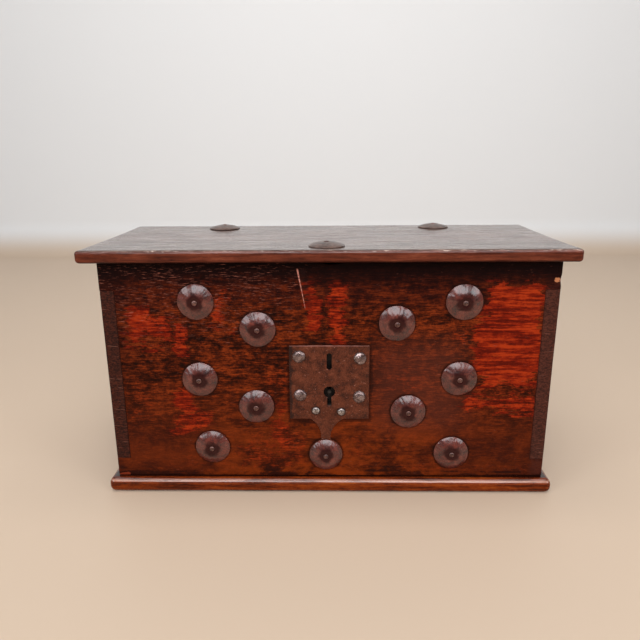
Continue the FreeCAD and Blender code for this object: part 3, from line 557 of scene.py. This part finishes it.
def add_painted_glints(graph, tone, place, at):
    """Painted glints: short pale dashes along the grain, thickest at the upper left."""
    glint_dash = graph.noise(place, grain("X", 0.0110, 0.0007), 3, 0.6)
    field = graph.noise(place, grain("X", 0.05, 0.03), 2, 0.5, shift=(3, 1, 2))
    upper_left = graph.times(graph.fade(at.x, -0.10, 0.04, 0.090), graph.spread(at.z, 0.17, 0.25))
    chance = graph.plus(upper_left, graph.times(field, 0.12))
    found = graph.minus(glint_dash, graph.minus(0.745, chance))
    return graph.stain(tone, graph.spread(found, 0.0, 0.09, 0.0, 0.72), (150, 88, 72))


def add_scratch(graph, tone, at, streak):
    """A long pale gouge that narrows downward from the lid, just left of the middle, with painted shade in a
    recess to its right.
    """
    top = 0.303
    length = 0.052
    start = -0.038
    lean = 0.0095
    thin = 0.0003
    wider = 0.0008
    fall = graph.math("DIVIDE", graph.minus(top, at.z), length)
    middle = graph.plus(start, graph.times(fall, lean))
    half = graph.plus(thin, graph.times(graph.minus(1.0, fall), wider))
    near = graph.fade(graph.minus(graph.apart(at.x, middle), half), -0.0004, 0.0003)
    span = graph.times(graph.spread(fall, 0.0, 0.05), graph.fade(fall, 0.93, 1.0))
    # Painted shade: a dark strip right of the gouge stands in for a shallow recess that is not cut.
    beside = graph.fade(graph.apart(at.x, graph.plus(middle, 0.006)), 0.001, 0.0055)
    dark = graph.fold("MULTIPLY", (beside, span, graph.spread(streak, 0.42, 0.55)))
    tone = graph.stain(tone, dark, (30, 12, 10), 0.8)
    mark = graph.fold("MULTIPLY", (near, span, graph.spread(streak, 0.40, 0.56, 0.3, 0.85)))
    return graph.stain(tone, mark, (196, 128, 112))


def add_chips(graph, tone, at, mottle):
    """Pale broken wood at the top of the right corner and the foot of the left one."""
    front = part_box("front_board")[0][1]
    near_front = graph.fade(at.y, front + 0.0005, front + 0.0040)
    blur = 0.001
    for x, z, radius, tall, shade in CHIPS:
        ragged = graph.plus(graph.distance(at, x, z, tall), graph.sway(mottle, 0.020))
        broken = graph.times(near_front, graph.fade(ragged, radius - blur, radius + blur))
        tone = graph.stain(tone, broken, shade)
    return tone


def side_wood():
    """The sides. Their tongues come through to the front, dark at the left and browner at the right."""
    graph, place, at, layers = begin_wood("side_varnish", "Y")
    shade = graph.weigh(layers, (0.38, 0.22, 0.26, 0.14))
    tone = graph.ramp(shade, (0.38, 38, 15, 12), (0.47, 72, 28, 19), (0.55, 98, 42, 25), (0.64, 124, 54, 30))
    worn = graph.times(graph.spread(layers.blotch, 0.50, 0.68), graph.spread(layers.streak, 0.42, 0.58))
    tone = graph.stain(tone, worn, (136, 46, 20), 0.5)
    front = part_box("left_side_board")[0][1]
    front_end = graph.fade(at.y, front + 0.0008, front + 0.0020)
    speck = graph.noise(place, (0.003, 0.003, 0.0015), 5, 0.7)
    left_end = graph.mix(graph.spread(speck, 0.40, 0.62), rgb(30, 12, 8), rgb(70, 30, 19))
    right_end = graph.mix(graph.spread(speck, 0.36, 0.64), rgb(42, 19, 14), rgb(80, 40, 29))
    end = graph.mix(graph.math("GREATER_THAN", at.x, 0.0), left_end, right_end)
    tone = graph.mix(front_end, tone, end)
    crack = graph.noise(place, (0.020, 0.020, 0.0009), 2, 0.5)
    cracked = graph.times(front_end, graph.spread(crack, 0.68, 0.74, 0.0, 0.5))
    tone = graph.stain(tone, cracked, (150, 100, 84))
    # Painted shadow of the lid along the top of the sides.
    under_lid_shadow = graph.spread(at.z, 0.275, 0.305)
    tone = graph.stain(tone, under_lid_shadow, (28, 10, 9), 0.75)
    rough = graph.plus(0.22, graph.times(layers.mottle, 0.42))
    return finish_wood(graph, at, tone, layers, rough, gloss=0.0)


def back_wood():
    """The back: thin varnish, dusty and seldom seen."""
    graph, _, at, layers = begin_wood("back_varnish", "X")
    shade = graph.weigh(layers, (0.46, 0.24, 0.16, 0.14))
    tone = graph.ramp(shade, (0.38, 42, 20, 14), (0.47, 72, 36, 23), (0.55, 96, 50, 31), (0.64, 120, 68, 42))
    dust = graph.spread(layers.blotch, 0.42, 0.66)
    tone = graph.stain(tone, dust, (120, 90, 72), 0.15)
    # Painted shadow of the lid along the top of the back.
    under_lid_shadow = graph.spread(at.z, 0.280, 0.306)
    tone = graph.stain(tone, under_lid_shadow, (28, 12, 10), 0.7)
    rough = graph.plus(0.38, graph.times(layers.mottle, 0.40))
    return finish_wood(graph, at, tone, layers, rough, gloss=0.0)


def lid_wood():
    """The lid: darker, waxed and faded on top, with pale scuffs along its front arris."""
    graph, place, at, layers = begin_wood("lid_varnish", "X")
    low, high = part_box("lid_board")
    front, bottom, top = low[1], low[2], high[2]
    shade = graph.weigh(layers, (0.42, 0.20, 0.26, 0.12))
    tone = graph.ramp(shade, (0.38, 44, 17, 12), (0.47, 78, 33, 20), (0.55, 102, 47, 30),
                      (0.64, 130, 70, 46))
    faded = graph.ramp(shade, (0.42, 44, 28, 22), (0.5, 72, 50, 40), (0.58, 98, 74, 60))
    tone = graph.mix(graph.times(graph.spread(at.z, top - 0.0018, top - 0.0008), 0.85), tone, faded)
    arris = graph.times(graph.fade(graph.apart(at.z, top - 0.0012), 0.0003, 0.0016),
                        graph.fade(at.y, front + 0.0015, front + 0.0045))
    scuff = graph.spread(graph.noise(place, grain("X", 0.012, 0.002), 4, 0.65), 0.54, 0.66, 0.0, 0.8)
    tone = graph.stain(tone, graph.times(arris, scuff), (206, 178, 162))
    # Painted shade along the lid's lower edge, which faces down.
    lower_edge_shade = graph.fade(at.z, bottom + 0.0005, bottom + 0.0030)
    tone = graph.stain(tone, lower_edge_shade, (26, 10, 8), 0.8)
    tone = add_lid_slit_shade(graph, tone, at, top)
    rough = graph.plus(0.06, graph.times(graph.plus(layers.mottle, layers.streak), 0.28))
    waxed = graph.spread(graph.weigh(layers, (0.6, 0.2, 0, 0.2)), 0.44, 0.56, 0.5, 1.0)
    gloss = graph.times(graph.spread(at.z, top - 0.0044, top - 0.0030), waxed)
    return finish_wood(graph, at, tone, layers, rough, gloss, relief=0.55)


def add_lid_slit_shade(graph, tone, at, top):
    """A short slit in the lid's top, near its left end, not cut but painted dark as the shade inside it."""
    long_way = graph.fade(graph.apart(at.x, -0.198), 0.0030, 0.0038)
    short_way = graph.fade(graph.apart(at.y, -0.012), 0.0012, 0.0020)
    on_top = graph.spread(at.z, top - 0.008, top - 0.004)
    return graph.stain(tone, graph.fold("MULTIPLY", (long_way, short_way, on_top)), (20, 10, 8))


def base_wood():
    """The bottom board: glossy orange-brown where hands and dusters have kept it bright."""
    graph, place, at, layers = begin_wood("base_varnish", "X")
    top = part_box("bottom_board")[1][2]
    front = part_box("front_board")[0][1]
    shade = graph.weigh(layers, (0.42, 0.22, 0.26, 0.10))
    tone = graph.ramp(shade, (0.42, 54, 17, 4), (0.48, 88, 30, 5), (0.53, 116, 44, 8), (0.59, 138, 62, 15))
    speck = graph.noise(place, grain("X", 0.004, 0.0022), 3, 0.6)
    tone = graph.stain(tone, graph.spread(speck, 0.64, 0.70, 0.0, 0.6), (52, 18, 10))
    # Grime and painted shade in the joint where the front stands on the base.
    joint_dirt_and_shade = graph.times(graph.spread(at.z, top - 0.0012, top),
                              graph.spread(at.y, front - 0.0035, front - 0.0015))
    tone = graph.stain(tone, joint_dirt_and_shade, (30, 12, 8))
    # Pale worn varnish along the top arris, also a painted highlight.
    arris = graph.fade(graph.apart(at.z, top - 0.0030), 0.0004, 0.0020)
    rubbed_and_highlight = graph.times(arris, graph.spread(layers.streak, 0.36, 0.58, 0.15, 0.75))
    tone = graph.stain(tone, rubbed_and_highlight, (188, 140, 120))
    # Painted shade along the bottom of the board, which faces down to the floor.
    underside_shade = graph.fade(at.z, 0.0004, 0.0022)
    tone = graph.stain(tone, underside_shade, (44, 24, 16), 0.7)
    rough = graph.plus(0.14, graph.times(layers.mottle, 0.26))
    gloss = graph.spread(at.z, top - 0.0075, top - 0.0040, 0.12, 1.0)
    return finish_wood(graph, at, tone, layers, rough, gloss, relief=0.6, shine=0.05)


# ---------------- metal

RIVETS = ((-0.0165, 0.1155), (0.0165, 0.1140))      # where they are on the lock plate: x, z


def aged_metal(name, dark, mid, light, rough, metallic, coat, size=0.004, relief=1.0, edge=0.3,
               shine=0.5, centre=None):
    """Iron with old varnish, grime in its hollows and wear on its high places.

    With a centre colour, the middle of each piece is darker and its coat thinner, by its reach attribute.
    """
    graph = Graph(name)
    place = graph.place()
    cloud = graph.noise(place, even(size * 2.5), 5, 0.62, 0.4)
    grit = graph.noise(place, even(size * 0.35), 4, 0.65)
    pits = graph.noise(place, even(size * 0.9), 3, 0.6, shift=(4, 2, 7))
    shade = graph.weigh((cloud, grit), (0.62, 0.38))
    tone = graph.ramp(shade, (0.36, *dark), (0.5, *mid), (0.64, *light))
    pointed = graph.add("NewGeometry").outputs["Pointiness"]
    high = graph.spread(pointed, 0.51, 0.55, 0.0, edge)
    tone = graph.stain(tone, high, [min(255, value * 1.5 + 18) for value in light])
    tone = graph.stain(tone, graph.spread(pits, 0.64, 0.70, 0.0, 0.55), [value * 0.5 for value in dark])
    if centre:
        reach = graph.add("Attribute")
        reach.attribute_name = "reach"
        rim_share = graph.spread(graph.plus(reach.outputs["Fac"], graph.sway(cloud, 0.5)), 0.34, 0.58)
        tone = graph.stain(tone, graph.minus(1.0, rim_share), centre, 0.95)
        coat = graph.times(coat, graph.mix(rim_share, 0.2, 1.0, "FLOAT"))
    roughness = graph.plus(rough - 0.14, graph.times(grit, 0.28))
    height = graph.weigh((cloud, grit, pits), (0.6, 0.35, -0.4))
    normal = graph.bump(height, 0.35 * relief, 0.0009)
    return graph.surface(tone, roughness, normal, Metallic=metallic, Coat_Weight=coat, Coat_Roughness=0.22,
                         Coat_IOR=1.6, IOR=1.5, Specular_IOR_Level=shine)


def plate_iron():
    """The lock plate: brown iron, pale where keys have scratched it, with painted shade at its left edge and
    a painted highlight along its top edge.
    """
    graph = Graph("plate_iron")
    place = graph.place()
    at = graph.parts(place)
    low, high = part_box("lock_plate")
    cloud = graph.noise(place, even(1 / 90), 6, 0.68, 0.4)
    grit = graph.noise(place, even(1 / 700), 4, 0.7)
    shade = graph.weigh((cloud, grit), (0.55, 0.45))
    tone = graph.ramp(shade, (0.40, 44, 16, 7), (0.5, 78, 34, 17), (0.60, 102, 50, 30))
    # Painted shade: a dark strip along the left edge, where the bent edge is in shadow; dark rings round the
    # rivets.
    left_edge = graph.plus(at.x, graph.sway(cloud, 0.012))
    edge_shade_and_pits = [graph.fade(left_edge, low[0] + 0.0020, low[0] + 0.0050, 0.75)]
    for x, z in RIVETS:
        edge_shade_and_pits.append(graph.fade(graph.distance(at, x, z), 0.0050, 0.0072, 0.8))
    tone = graph.stain(tone, graph.fold("MAXIMUM", edge_shade_and_pits), (26, 10, 7))
    nick = graph.noise(place, (0.0032, 0.002, 0.0011), 2, 0.5, 0.6)
    tone = graph.stain(tone, graph.spread(nick, 0.69, 0.74, 0.0, 0.6), (178, 128, 112))
    # Painted highlight: a pale line along the plate's top edge.
    upper_arris_highlight = graph.spread(at.z, high[2] - 0.0007, high[2] - 0.0002, 0.0, 0.55)
    tone = graph.stain(tone, upper_arris_highlight, (170, 110, 96))
    rough = graph.plus(0.28, graph.times(grit, 0.28))
    normal = graph.bump(graph.weigh((cloud, grit), (0.6, 0.4)), 0.4, 0.0010)
    return graph.surface(tone, rough, normal, Metallic=0.05, Coat_Weight=0.0, IOR=1.5,
                         Specular_IOR_Level=0.22)


# ---------------- boards

def board_piece(name, node, body, radius, steps, seed, material, shape=None, cutters=(), knocked=1.0):
    """A plank in place of a CAD board: rounded and worn edges, and the waves a hand plane leaves."""
    low, high = [np.array(corner, float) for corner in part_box(node)]
    points, out, faces = rounded_board(low, high, radius, steps)
    corner = 1 - np.abs(out).max(axis=1)
    wide = [0.09 if axis == int(np.argmax(high - low)) else 0.022 for axis in range(3)]
    waves = noise(points, wide, seed) * 0.00016 + noise(points, [s / 5 for s in wide], seed + 1) * 0.00007
    dents = smooth_step(noise(points, even(0.017), seed + 2), 0.15, 0.8)
    knocks = smooth_step(noise(points, even(0.006), seed + 3), 0.35, 0.85)
    wear = (dents * 0.0009 + knocks * 0.0006) * knocked * np.clip(corner / 0.25, 0, 1)
    points = points + out * (waves - wear - 0.00012)[:, None]
    if shape is not None:
        points = shape(points, low, high)
    piece = add_piece(name, new_mesh(name, points, faces), body, node)
    if cutters:
        carve(piece, cutters)
    cover(piece.data, material)


def tongue_cutters(node):
    """What opens the ends of the front or back board for the sides' tongues."""
    low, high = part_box(node)
    reach = BOARD_THICKNESS + TONGUE_PLAY
    cutters = []
    for start, end in ((low[0] - BEYOND, low[0] + reach), (high[0] - reach, high[0] + BEYOND)):
        cutters.append(cutter_box((start, low[1] - BEYOND, TONGUE_LOW - TONGUE_PLAY),
                                  (end, high[1] + BEYOND, TONGUE_HIGH + TONGUE_PLAY)))
    return cutters


def shape_front(points, low, high):
    """A broken corner at the top right, and the top edge worn down in the middle."""
    chip_place = [high[0], low[1], 0.287]
    chip_size = [0.007, 0.006, 0.008]
    chip = np.linalg.norm((points - chip_place) / chip_size, axis=1)
    points = points + np.clip(1 - chip, 0, 1)[:, None] * [-0.0010, 0.0014, 0]
    worn_place = 0.004
    worn_reach = 0.014
    worn_depth = 0.0045
    near_middle = np.exp(-((points[:, 0] - worn_place) / worn_reach) ** 2)
    on_edge = (points[:, 2] > high[2] - 0.006) * (points[:, 1] < low[1] + 0.009)
    points[:, 2] -= near_middle * on_edge * worn_depth
    return points


def make_front_board():
    """The front board, open at its ends for the tongues and hollowed behind the plate for the lock."""
    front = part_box("front_board")[0][1]
    low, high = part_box("lock_case")
    play = 0.0005
    cutters = tongue_cutters("front_board")
    cutters.append(cutter_box((low[0] - play, front - BEYOND, low[2] - play),
                              (high[0] + play, high[1] + play, high[2] + play)))
    board_piece("front_plank", "front_board", "box", 0.0012, (0.003, 0.006, 0.0022), 11,
                front_wood(), shape_front, cutters)


def make_back_board():
    """The back board, open at its ends for the tongues."""
    board_piece("back_plank", "back_board", "box", 0.0012, (0.004, 0.006, 0.003), 23,
                back_wood(), None, tongue_cutters("back_board"))


def make_side_board(side, seed, material):
    """A side board with a tongue at each end that shows at the front and the back."""
    node = side + "_side_board"
    low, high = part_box(node)
    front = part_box("front_board")[1][1]
    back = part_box("back_board")[0][1]
    left, right = low[0] - BEYOND, high[0] + BEYOND
    cutters = []
    for start, end in ((low[1] - BEYOND, front), (back, high[1] + BEYOND)):
        cutters.append(cutter_box((left, start, low[2] - BEYOND), (right, end, TONGUE_LOW)))
        cutters.append(cutter_box((left, start, TONGUE_HIGH), (right, end, high[2] + BEYOND)))
    board_piece(side + "_plank", node, "box", 0.0012, (0.005, 0.003, 0.003), seed,
                material, None, cutters)


def standing_parts(node, reach):
    """The low and high corner of each upright nail in a CAD node. No two stand within reach."""
    points = np.array([vertex.co[:] for vertex in nodes[node].data.vertices])
    boxes = []
    while len(points):
        near = np.linalg.norm(points[:, :2] - points[0, :2], axis=1) < reach
        boxes.append((points[near].min(axis=0), points[near].max(axis=0)))
        points = points[~near]
    return boxes


def make_base():
    """The bottom board, with full round edges and the sunk holes of its nails."""
    hole_radius = 0.0042
    head_height = 0.002
    cutters = []
    for low, high in standing_parts("base_nails", 0.02):
        x, y, _ = (low + high) / 2
        cutters.append(cutter_bar((x, y, -BEYOND), (x, y, low[2] + head_height), hole_radius))
    board_piece("base_plank", "bottom_board", "box", 0.0078, (0.003, 0.004, 0.004), 37,
                base_wood(), None, cutters, knocked=0.25)


def shape_lid(points, low, high):
    """The lid's hollow top and the bulge at its left end."""
    hollow = 0.0011
    bulge = 0.0024
    top = smooth_step(points[:, 2], high[2] - 0.0044, high[2] - 0.0004)
    points[:, 2] -= top * (1 - (points[:, 1] / high[1]) ** 2) * hollow
    end = smooth_step(-points[:, 0], -low[0] - 0.011, -low[0])
    points[:, 0] -= end * bulge
    return points


def make_lid():
    """The lid, slightly hollow on top, fuller at its left end, and let in for the hinge straps."""
    strap_play = 0.0003
    pin_play = 0.0004
    groove_radius = 0.0056
    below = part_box("lid_board")[0][2] - BEYOND
    cutters = []
    for side in ("left", "right"):
        low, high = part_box("hinge_%s_lid_strap" % side)
        pin_low, pin_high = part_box("hinge_%s_pin" % side)
        y, z = (pin_low[1] + pin_high[1]) / 2, (pin_low[2] + pin_high[2]) / 2
        cutters.append(cutter_box((low[0] - strap_play, low[1] - strap_play, below),
                                  (high[0] + strap_play, y, high[2])))
        cutters.append(cutter_bar((pin_low[0] - pin_play, y, z), (pin_high[0] + pin_play, y, z),
                                  groove_radius))
    board_piece("lid_plank", "lid_board", "lid", 0.0046, (0.003, 0.0028, 0.003), 51,
                lid_wood(), shape_lid, cutters)


# ---------------- bosses

BOSS_TURNS = 132                    # points round each ring of a boss
TAIL_BOSS = "front_boss_11"         # the boss on the plate's tail, which is a little smaller
TAIL_BOSS_SHARE = 0.955


def boss_rings(tall, rim):
    """The reach and height of each ring of a boss, from its middle, and how many are on its top.

    Reach is 0 at the middle and 1 at the rim. The last four rings close the boss underneath.
    """
    reach = np.concatenate([np.linspace(0.0, 0.42, 14), np.linspace(0.45, 0.93, 20),
                            (0.955, 0.975, 0.99, 1.0)])
    height = rim + (tall - rim) * (1 - reach ** 2.1)
    return (np.concatenate([reach, (1.004, 1.0, 0.5, 0.02)]),
            np.concatenate([height, (0.0006, 0.0, 0.0, 0.0)]), len(reach))


def hammer_boss(flat, share, angle, seed):
    """How far the hammer and the file raise or lower each point of a boss's top."""
    solid = np.column_stack([flat, np.full(len(flat), seed * 0.1)])
    blows = noise(solid, even(0.0062), 61) * 0.00022 + noise(solid, even(0.0028), 62) * 0.00008
    spokes = np.column_stack([np.cos(angle) * 9, np.sin(angle) * 9, share * 1.1 + seed])
    files = noise(spokes, even(1.0), 63) * 0.00024 * smooth_step(share, 0.45, 0.85)
    return (blows + files) * smooth_step(1.0 - share, 0.0, 0.06)


def make_boss(node, body, seed, material, on_front):
    """A domed iron boss: hammered, filed towards its rim, and dished where the nail sits."""
    low, high = [np.array(corner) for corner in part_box(node)]
    middle = (low + high) / 2
    radius = (high[0] - low[0]) / 2 * (TAIL_BOSS_SHARE if node == TAIL_BOSS else 1.0)
    tall = high[1] - low[1] if on_front else high[2] - low[2]
    rim = 0.0012 if on_front else 0.0007
    sink = 0.0 if on_front else 0.0002
    reach, height, top_rings = boss_rings(tall, rim)
    rings = len(reach)
    turn = 2 * np.pi * np.arange(BOSS_TURNS) / BOSS_TURNS
    share, angle = [grid.ravel() for grid in np.meshgrid(reach, turn, indexing="ij")]
    on_top = np.arange(rings * BOSS_TURNS) < top_rings * BOSS_TURNS
    flat = np.column_stack([share * np.cos(angle), share * np.sin(angle)]) * radius
    off_centre = lattice(np.array([[seed, 1, 2], [seed, 3, 4]]), 5) * 0.0007
    dish = 1 - smooth_step(np.linalg.norm(flat - off_centre, axis=1), 0.0025, 0.0068)
    up = np.repeat(height, BOSS_TURNS) - on_top * dish * 0.0010
    up = up + on_top * hammer_boss(flat, share, angle, seed) - sink
    outline = np.column_stack([np.cos(angle) * 1.6, np.sin(angle) * 1.6, np.full(len(up), seed)])
    uneven = noise(outline, even(1.0), 64) * 0.018 * smooth_step(share, 0.3, 1.0)
    flat = flat * (1 + uneven)[:, None]
    if on_front:
        points = np.column_stack([middle[0] + flat[:, 0], high[1] - up, middle[2] + flat[:, 1]])
    else:
        points = np.column_stack([middle[0] + flat[:, 0], middle[1] + flat[:, 1], low[2] + up])
    index = np.arange(rings * BOSS_TURNS).reshape(rings, BOSS_TURNS)
    after = np.roll(index, -1, axis=1)
    faces = np.stack([index[:-1], index[1:], after[1:], after[:-1]], axis=-1).reshape(-1, 4)
    name = node + "_forged"
    piece = add_piece(name, new_mesh(name, points, faces), body, node)
    piece.data.attributes.new("reach", "FLOAT", "POINT").data.foreach_set("value", share)
    cover(piece.data, material)


def make_bosses():
    """All the bosses, each with its own hammering."""
    red_iron = aged_metal("boss_iron", (36, 11, 8), (80, 28, 18), (110, 46, 32), rough=0.34, metallic=0.0,
                          coat=1.0, relief=1.4, edge=0.1, shine=0.06, centre=(42, 10, 8))
    dusty_iron = aged_metal("lid_boss_iron", (44, 28, 23), (80, 58, 50), (108, 84, 74), rough=0.42,
                            metallic=0.0, coat=0.6, relief=1.4, edge=0.1, shine=0.1)
    for number, node in enumerate(FRONT_BOSSES):
        make_boss(node, "box", 1 + number, red_iron, True)
    for number, node in enumerate(LID_BOSSES):
        make_boss(node, "lid", 20 + number, dusty_iron, False)


# ---------------- smaller iron

def round_slot(points):
    """The staple slot's square ends made round, with the iron about them moved to suit."""
    slot_top = 0.194
    slot_bottom = 0.172
    half = 0.00315
    low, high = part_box("lock_plate_nails")
    across = (low[0] + high[0]) / 2 - 0.00025
    for end, side in ((slot_top, 1), (slot_bottom, -1)):
        middle = np.array([across, end - side * half])
        away = (points[:, [0, 2]] - middle) * [1, side]
        square = np.maximum(np.abs(away[:, 0]), away[:, 1])
        round_reach = np.maximum(np.linalg.norm(away, axis=1), 1e-6)
        pull = (1 - smooth_step(square, half * 1.15, half * 2.4)) * (away[:, 1] > 0) * (square > half * 0.8)
        scale = 1 - pull * (1 - square / round_reach)
        points[:, [0, 2]] = away * scale[:, None] * [1, side] + middle
    return points


def read_vectors(collection, name):
    """One vector of each item in a mesh's collection, as rows."""
    values = np.empty(len(collection) * 3)
    collection.foreach_get(name, values)
    return values.reshape(-1, 3)


def forge(node, body, voxel, blow, depth, seed, material, shape=None):
    """A CAD shape remade with soft hammered faces and uneven edges."""
    copy = add_object("blank", nodes[node].data.copy())
    modifier = copy.modifiers.new("remesh", "REMESH")
    modifier.mode = "VOXEL"
    modifier.voxel_size = voxel
    mesh = bpy.data.meshes.new_from_object(copy.evaluated_get(bpy.context.evaluated_depsgraph_get()))
    bpy.data.objects.remove(copy)
    mesh.name = node
    points = read_vectors(mesh.vertices, "co")
    normals = read_vectors(mesh.vertex_normals, "vector")
    amount = noise(points, even(blow), seed) * depth + noise(points, even(blow * 3), seed + 1) * depth * 0.8
    points = points + normals * amount[:, None]
    if shape is not None:
        points = shape(points)
    mesh.vertices.foreach_set("co", points.ravel())
    mesh.update()
    add_piece(node + "_forged", mesh, body, node)
    cover(mesh, material)


def paint(node, material, width=None):
    """A CAD node shown as it is, with its material and, with a width, softened edges."""
    thing = nodes[node]
    cover(thing.data, material)
    if width:
        modifier = thing.modifiers.new("soft_edges", "BEVEL")
        modifier.width = width
        modifier.segments = 2
        modifier.limit_method = "ANGLE"
        modifier.angle_limit = math.radians(35)


def make_lock():
    """The lock plate with its nails and rivets, and the lock behind it."""
    nail = aged_metal("plate_nail_iron", (52, 34, 32), (108, 84, 80), (172, 152, 148), rough=0.26,
                      metallic=0.8, coat=0.5, size=0.002)
    bright = aged_metal("bright_rivet", (44, 34, 32), (120, 106, 102), (200, 192, 188), rough=0.26,
                        metallic=0.85, coat=0.3, size=0.0014)
    dull = aged_metal("lock_iron", (18, 14, 12), (32, 26, 23), (52, 44, 39), rough=0.5, metallic=0.5,
                      coat=0.0, edge=0.1)
    forge("lock_plate", "box", 0.0006, 0.007, 0.00022, 71, plate_iron(), round_slot)
    forge("lock_plate_nails", "box", 0.0004, 0.0021, 0.00034, 73, nail)
    forge("lock_plate_rivets", "box", 0.00035, 0.002, 0.00018, 75, bright)
    for node in ("lock_drill_pin", "lock_case", "lock_bolt", "lock_bolt_keepers", "lock_spring"):
        paint(node, dull, 0.0003)


def make_hinges():
    """The hinge straps, pins and nails, and the nails of the bosses and the base."""
    iron = aged_metal("hinge_iron", (40, 28, 25), (72, 52, 46), (104, 80, 70), rough=0.46, metallic=0.65,
                      coat=0.06)
    nail = aged_metal("boss_nail_iron", (36, 16, 13), (68, 35, 28), (108, 70, 60), rough=0.34,
                      metallic=0.4, coat=0.3, size=0.003)
    for side, seed in (("left", 81), ("right", 85)):
        forge("hinge_%s_lid_strap" % side, "lid", 0.0006, 0.008, 0.00012, seed, iron)
        forge("hinge_%s_back_strap" % side, "box", 0.0006, 0.008, 0.00012, seed + 2, iron)
        paint("hinge_%s_pin" % side, iron, 0.0003)
    for node in ("lid_strap_nails", "back_strap_nails", "base_nails"):
        paint(node, iron)
    for node in ("front_boss_nails", "tail_boss_nail", "lid_front_boss_nail", "lid_rear_boss_nails"):
        paint(node, nail)


# ---------------- camera, light and floor

def add_camera():
    """A camera in front of the box, a little above it and looking down on its lid."""
    data = bpy.data.cameras.new("camera")
    data.lens = 33.46
    data.sensor_width = 36.0
    pitch = math.radians(90 - 15.69)
    turn = math.radians(1.17)
    roll = math.radians(-0.42)
    look = Matrix.Rotation(turn, 3, "Z") @ Matrix.Rotation(pitch, 3, "X") @ Matrix.Rotation(roll, 3, "Z")
    camera = add_object("camera", data)
    camera.matrix_world = Matrix.Translation((0.0042, -0.8211, 0.438)) @ look.to_4x4()
    bpy.context.scene.camera = camera


def add_light(name, place, target, size, power, tint=(1, 1, 1)):
    """A soft oblong light that points at a target."""
    data = bpy.data.lights.new(name, "AREA")
    data.shape = "RECTANGLE"
    data.size, data.size_y = size
    data.energy = power
    data.color = tint
    light = add_object(name, data)
    light.location = place
    direction = Vector(target) - Vector(place)
    light.rotation_euler = direction.to_track_quat("-Z", "Y").to_euler()


def add_lights():
    """Soft studio light from above, in front and both sides, and a wash over the wall."""
    world = bpy.data.worlds.new("world")
    world.use_nodes = True
    background = world.node_tree.nodes["Background"]
    background.inputs["Color"].default_value = (0.96, 0.98, 1.0, 1)
    background.inputs["Strength"].default_value = 0.19
    bpy.context.scene.world = world
    add_light("ceiling", (0.0, -0.55, 1.9), (0, 0.0, 0.2), (2.2, 1.0), 12)
    add_light("softbox", (0.0, -2.2, 1.85), (0, -0.1, 0.2), (2.4, 1.3), 52, (0.96, 0.97, 1.0))
    for side in (-1, 1):
        add_light("window", (side * 2.2, -1.75, 1.3), (0, -0.1, 0.2), (1.3, 1.1), 22, (0.93, 0.97, 1.0))
    add_light("wall_wash", (0.0, 0.2, 2.9), (0, 1.9, 1.0), (3.4, 0.8), 30)
    bpy.context.scene.view_settings.view_transform = "Standard"


def add_stage():
    """A pale floor that curves up into a pale wall behind the box."""
    front = -3.0
    wall = 1.9
    top = 4.0
    bend = 0.15
    width = 5.0
    steps = 8
    profile = [(front, 0.0), (wall - bend, 0.0)]
    for step in range(1, steps + 1):
        angle = math.radians(90 * step / steps)
        profile.append((wall - bend + bend * math.sin(angle), bend - bend * math.cos(angle)))
    profile.append((wall, top))
    points = [(x, y, z) for y, z in profile for x in (-width, width)]
    faces = [(2 * row, 2 * row + 1, 2 * row + 3, 2 * row + 2) for row in range(len(profile) - 1)]
    mesh = new_mesh("floor", points, faces)
    shade_smooth(mesh)
    graph = Graph("pale_floor")
    height = graph.parts(graph.place()).z
    tone = graph.mix(graph.spread(height, 0.0, 0.12), (0.575, 0.44, 0.325), (0.78, 0.78, 0.78))
    cover(mesh, graph.surface(tone, 0.55, None))
    add_object("floor", mesh)


add_camera()
add_stage()
add_lights()
make_front_board()
make_back_board()
sides = side_wood()
make_side_board("left", 43, sides)
make_side_board("right", 47, sides)
make_base()
make_lid()
make_bosses()
make_lock()
make_hinges()
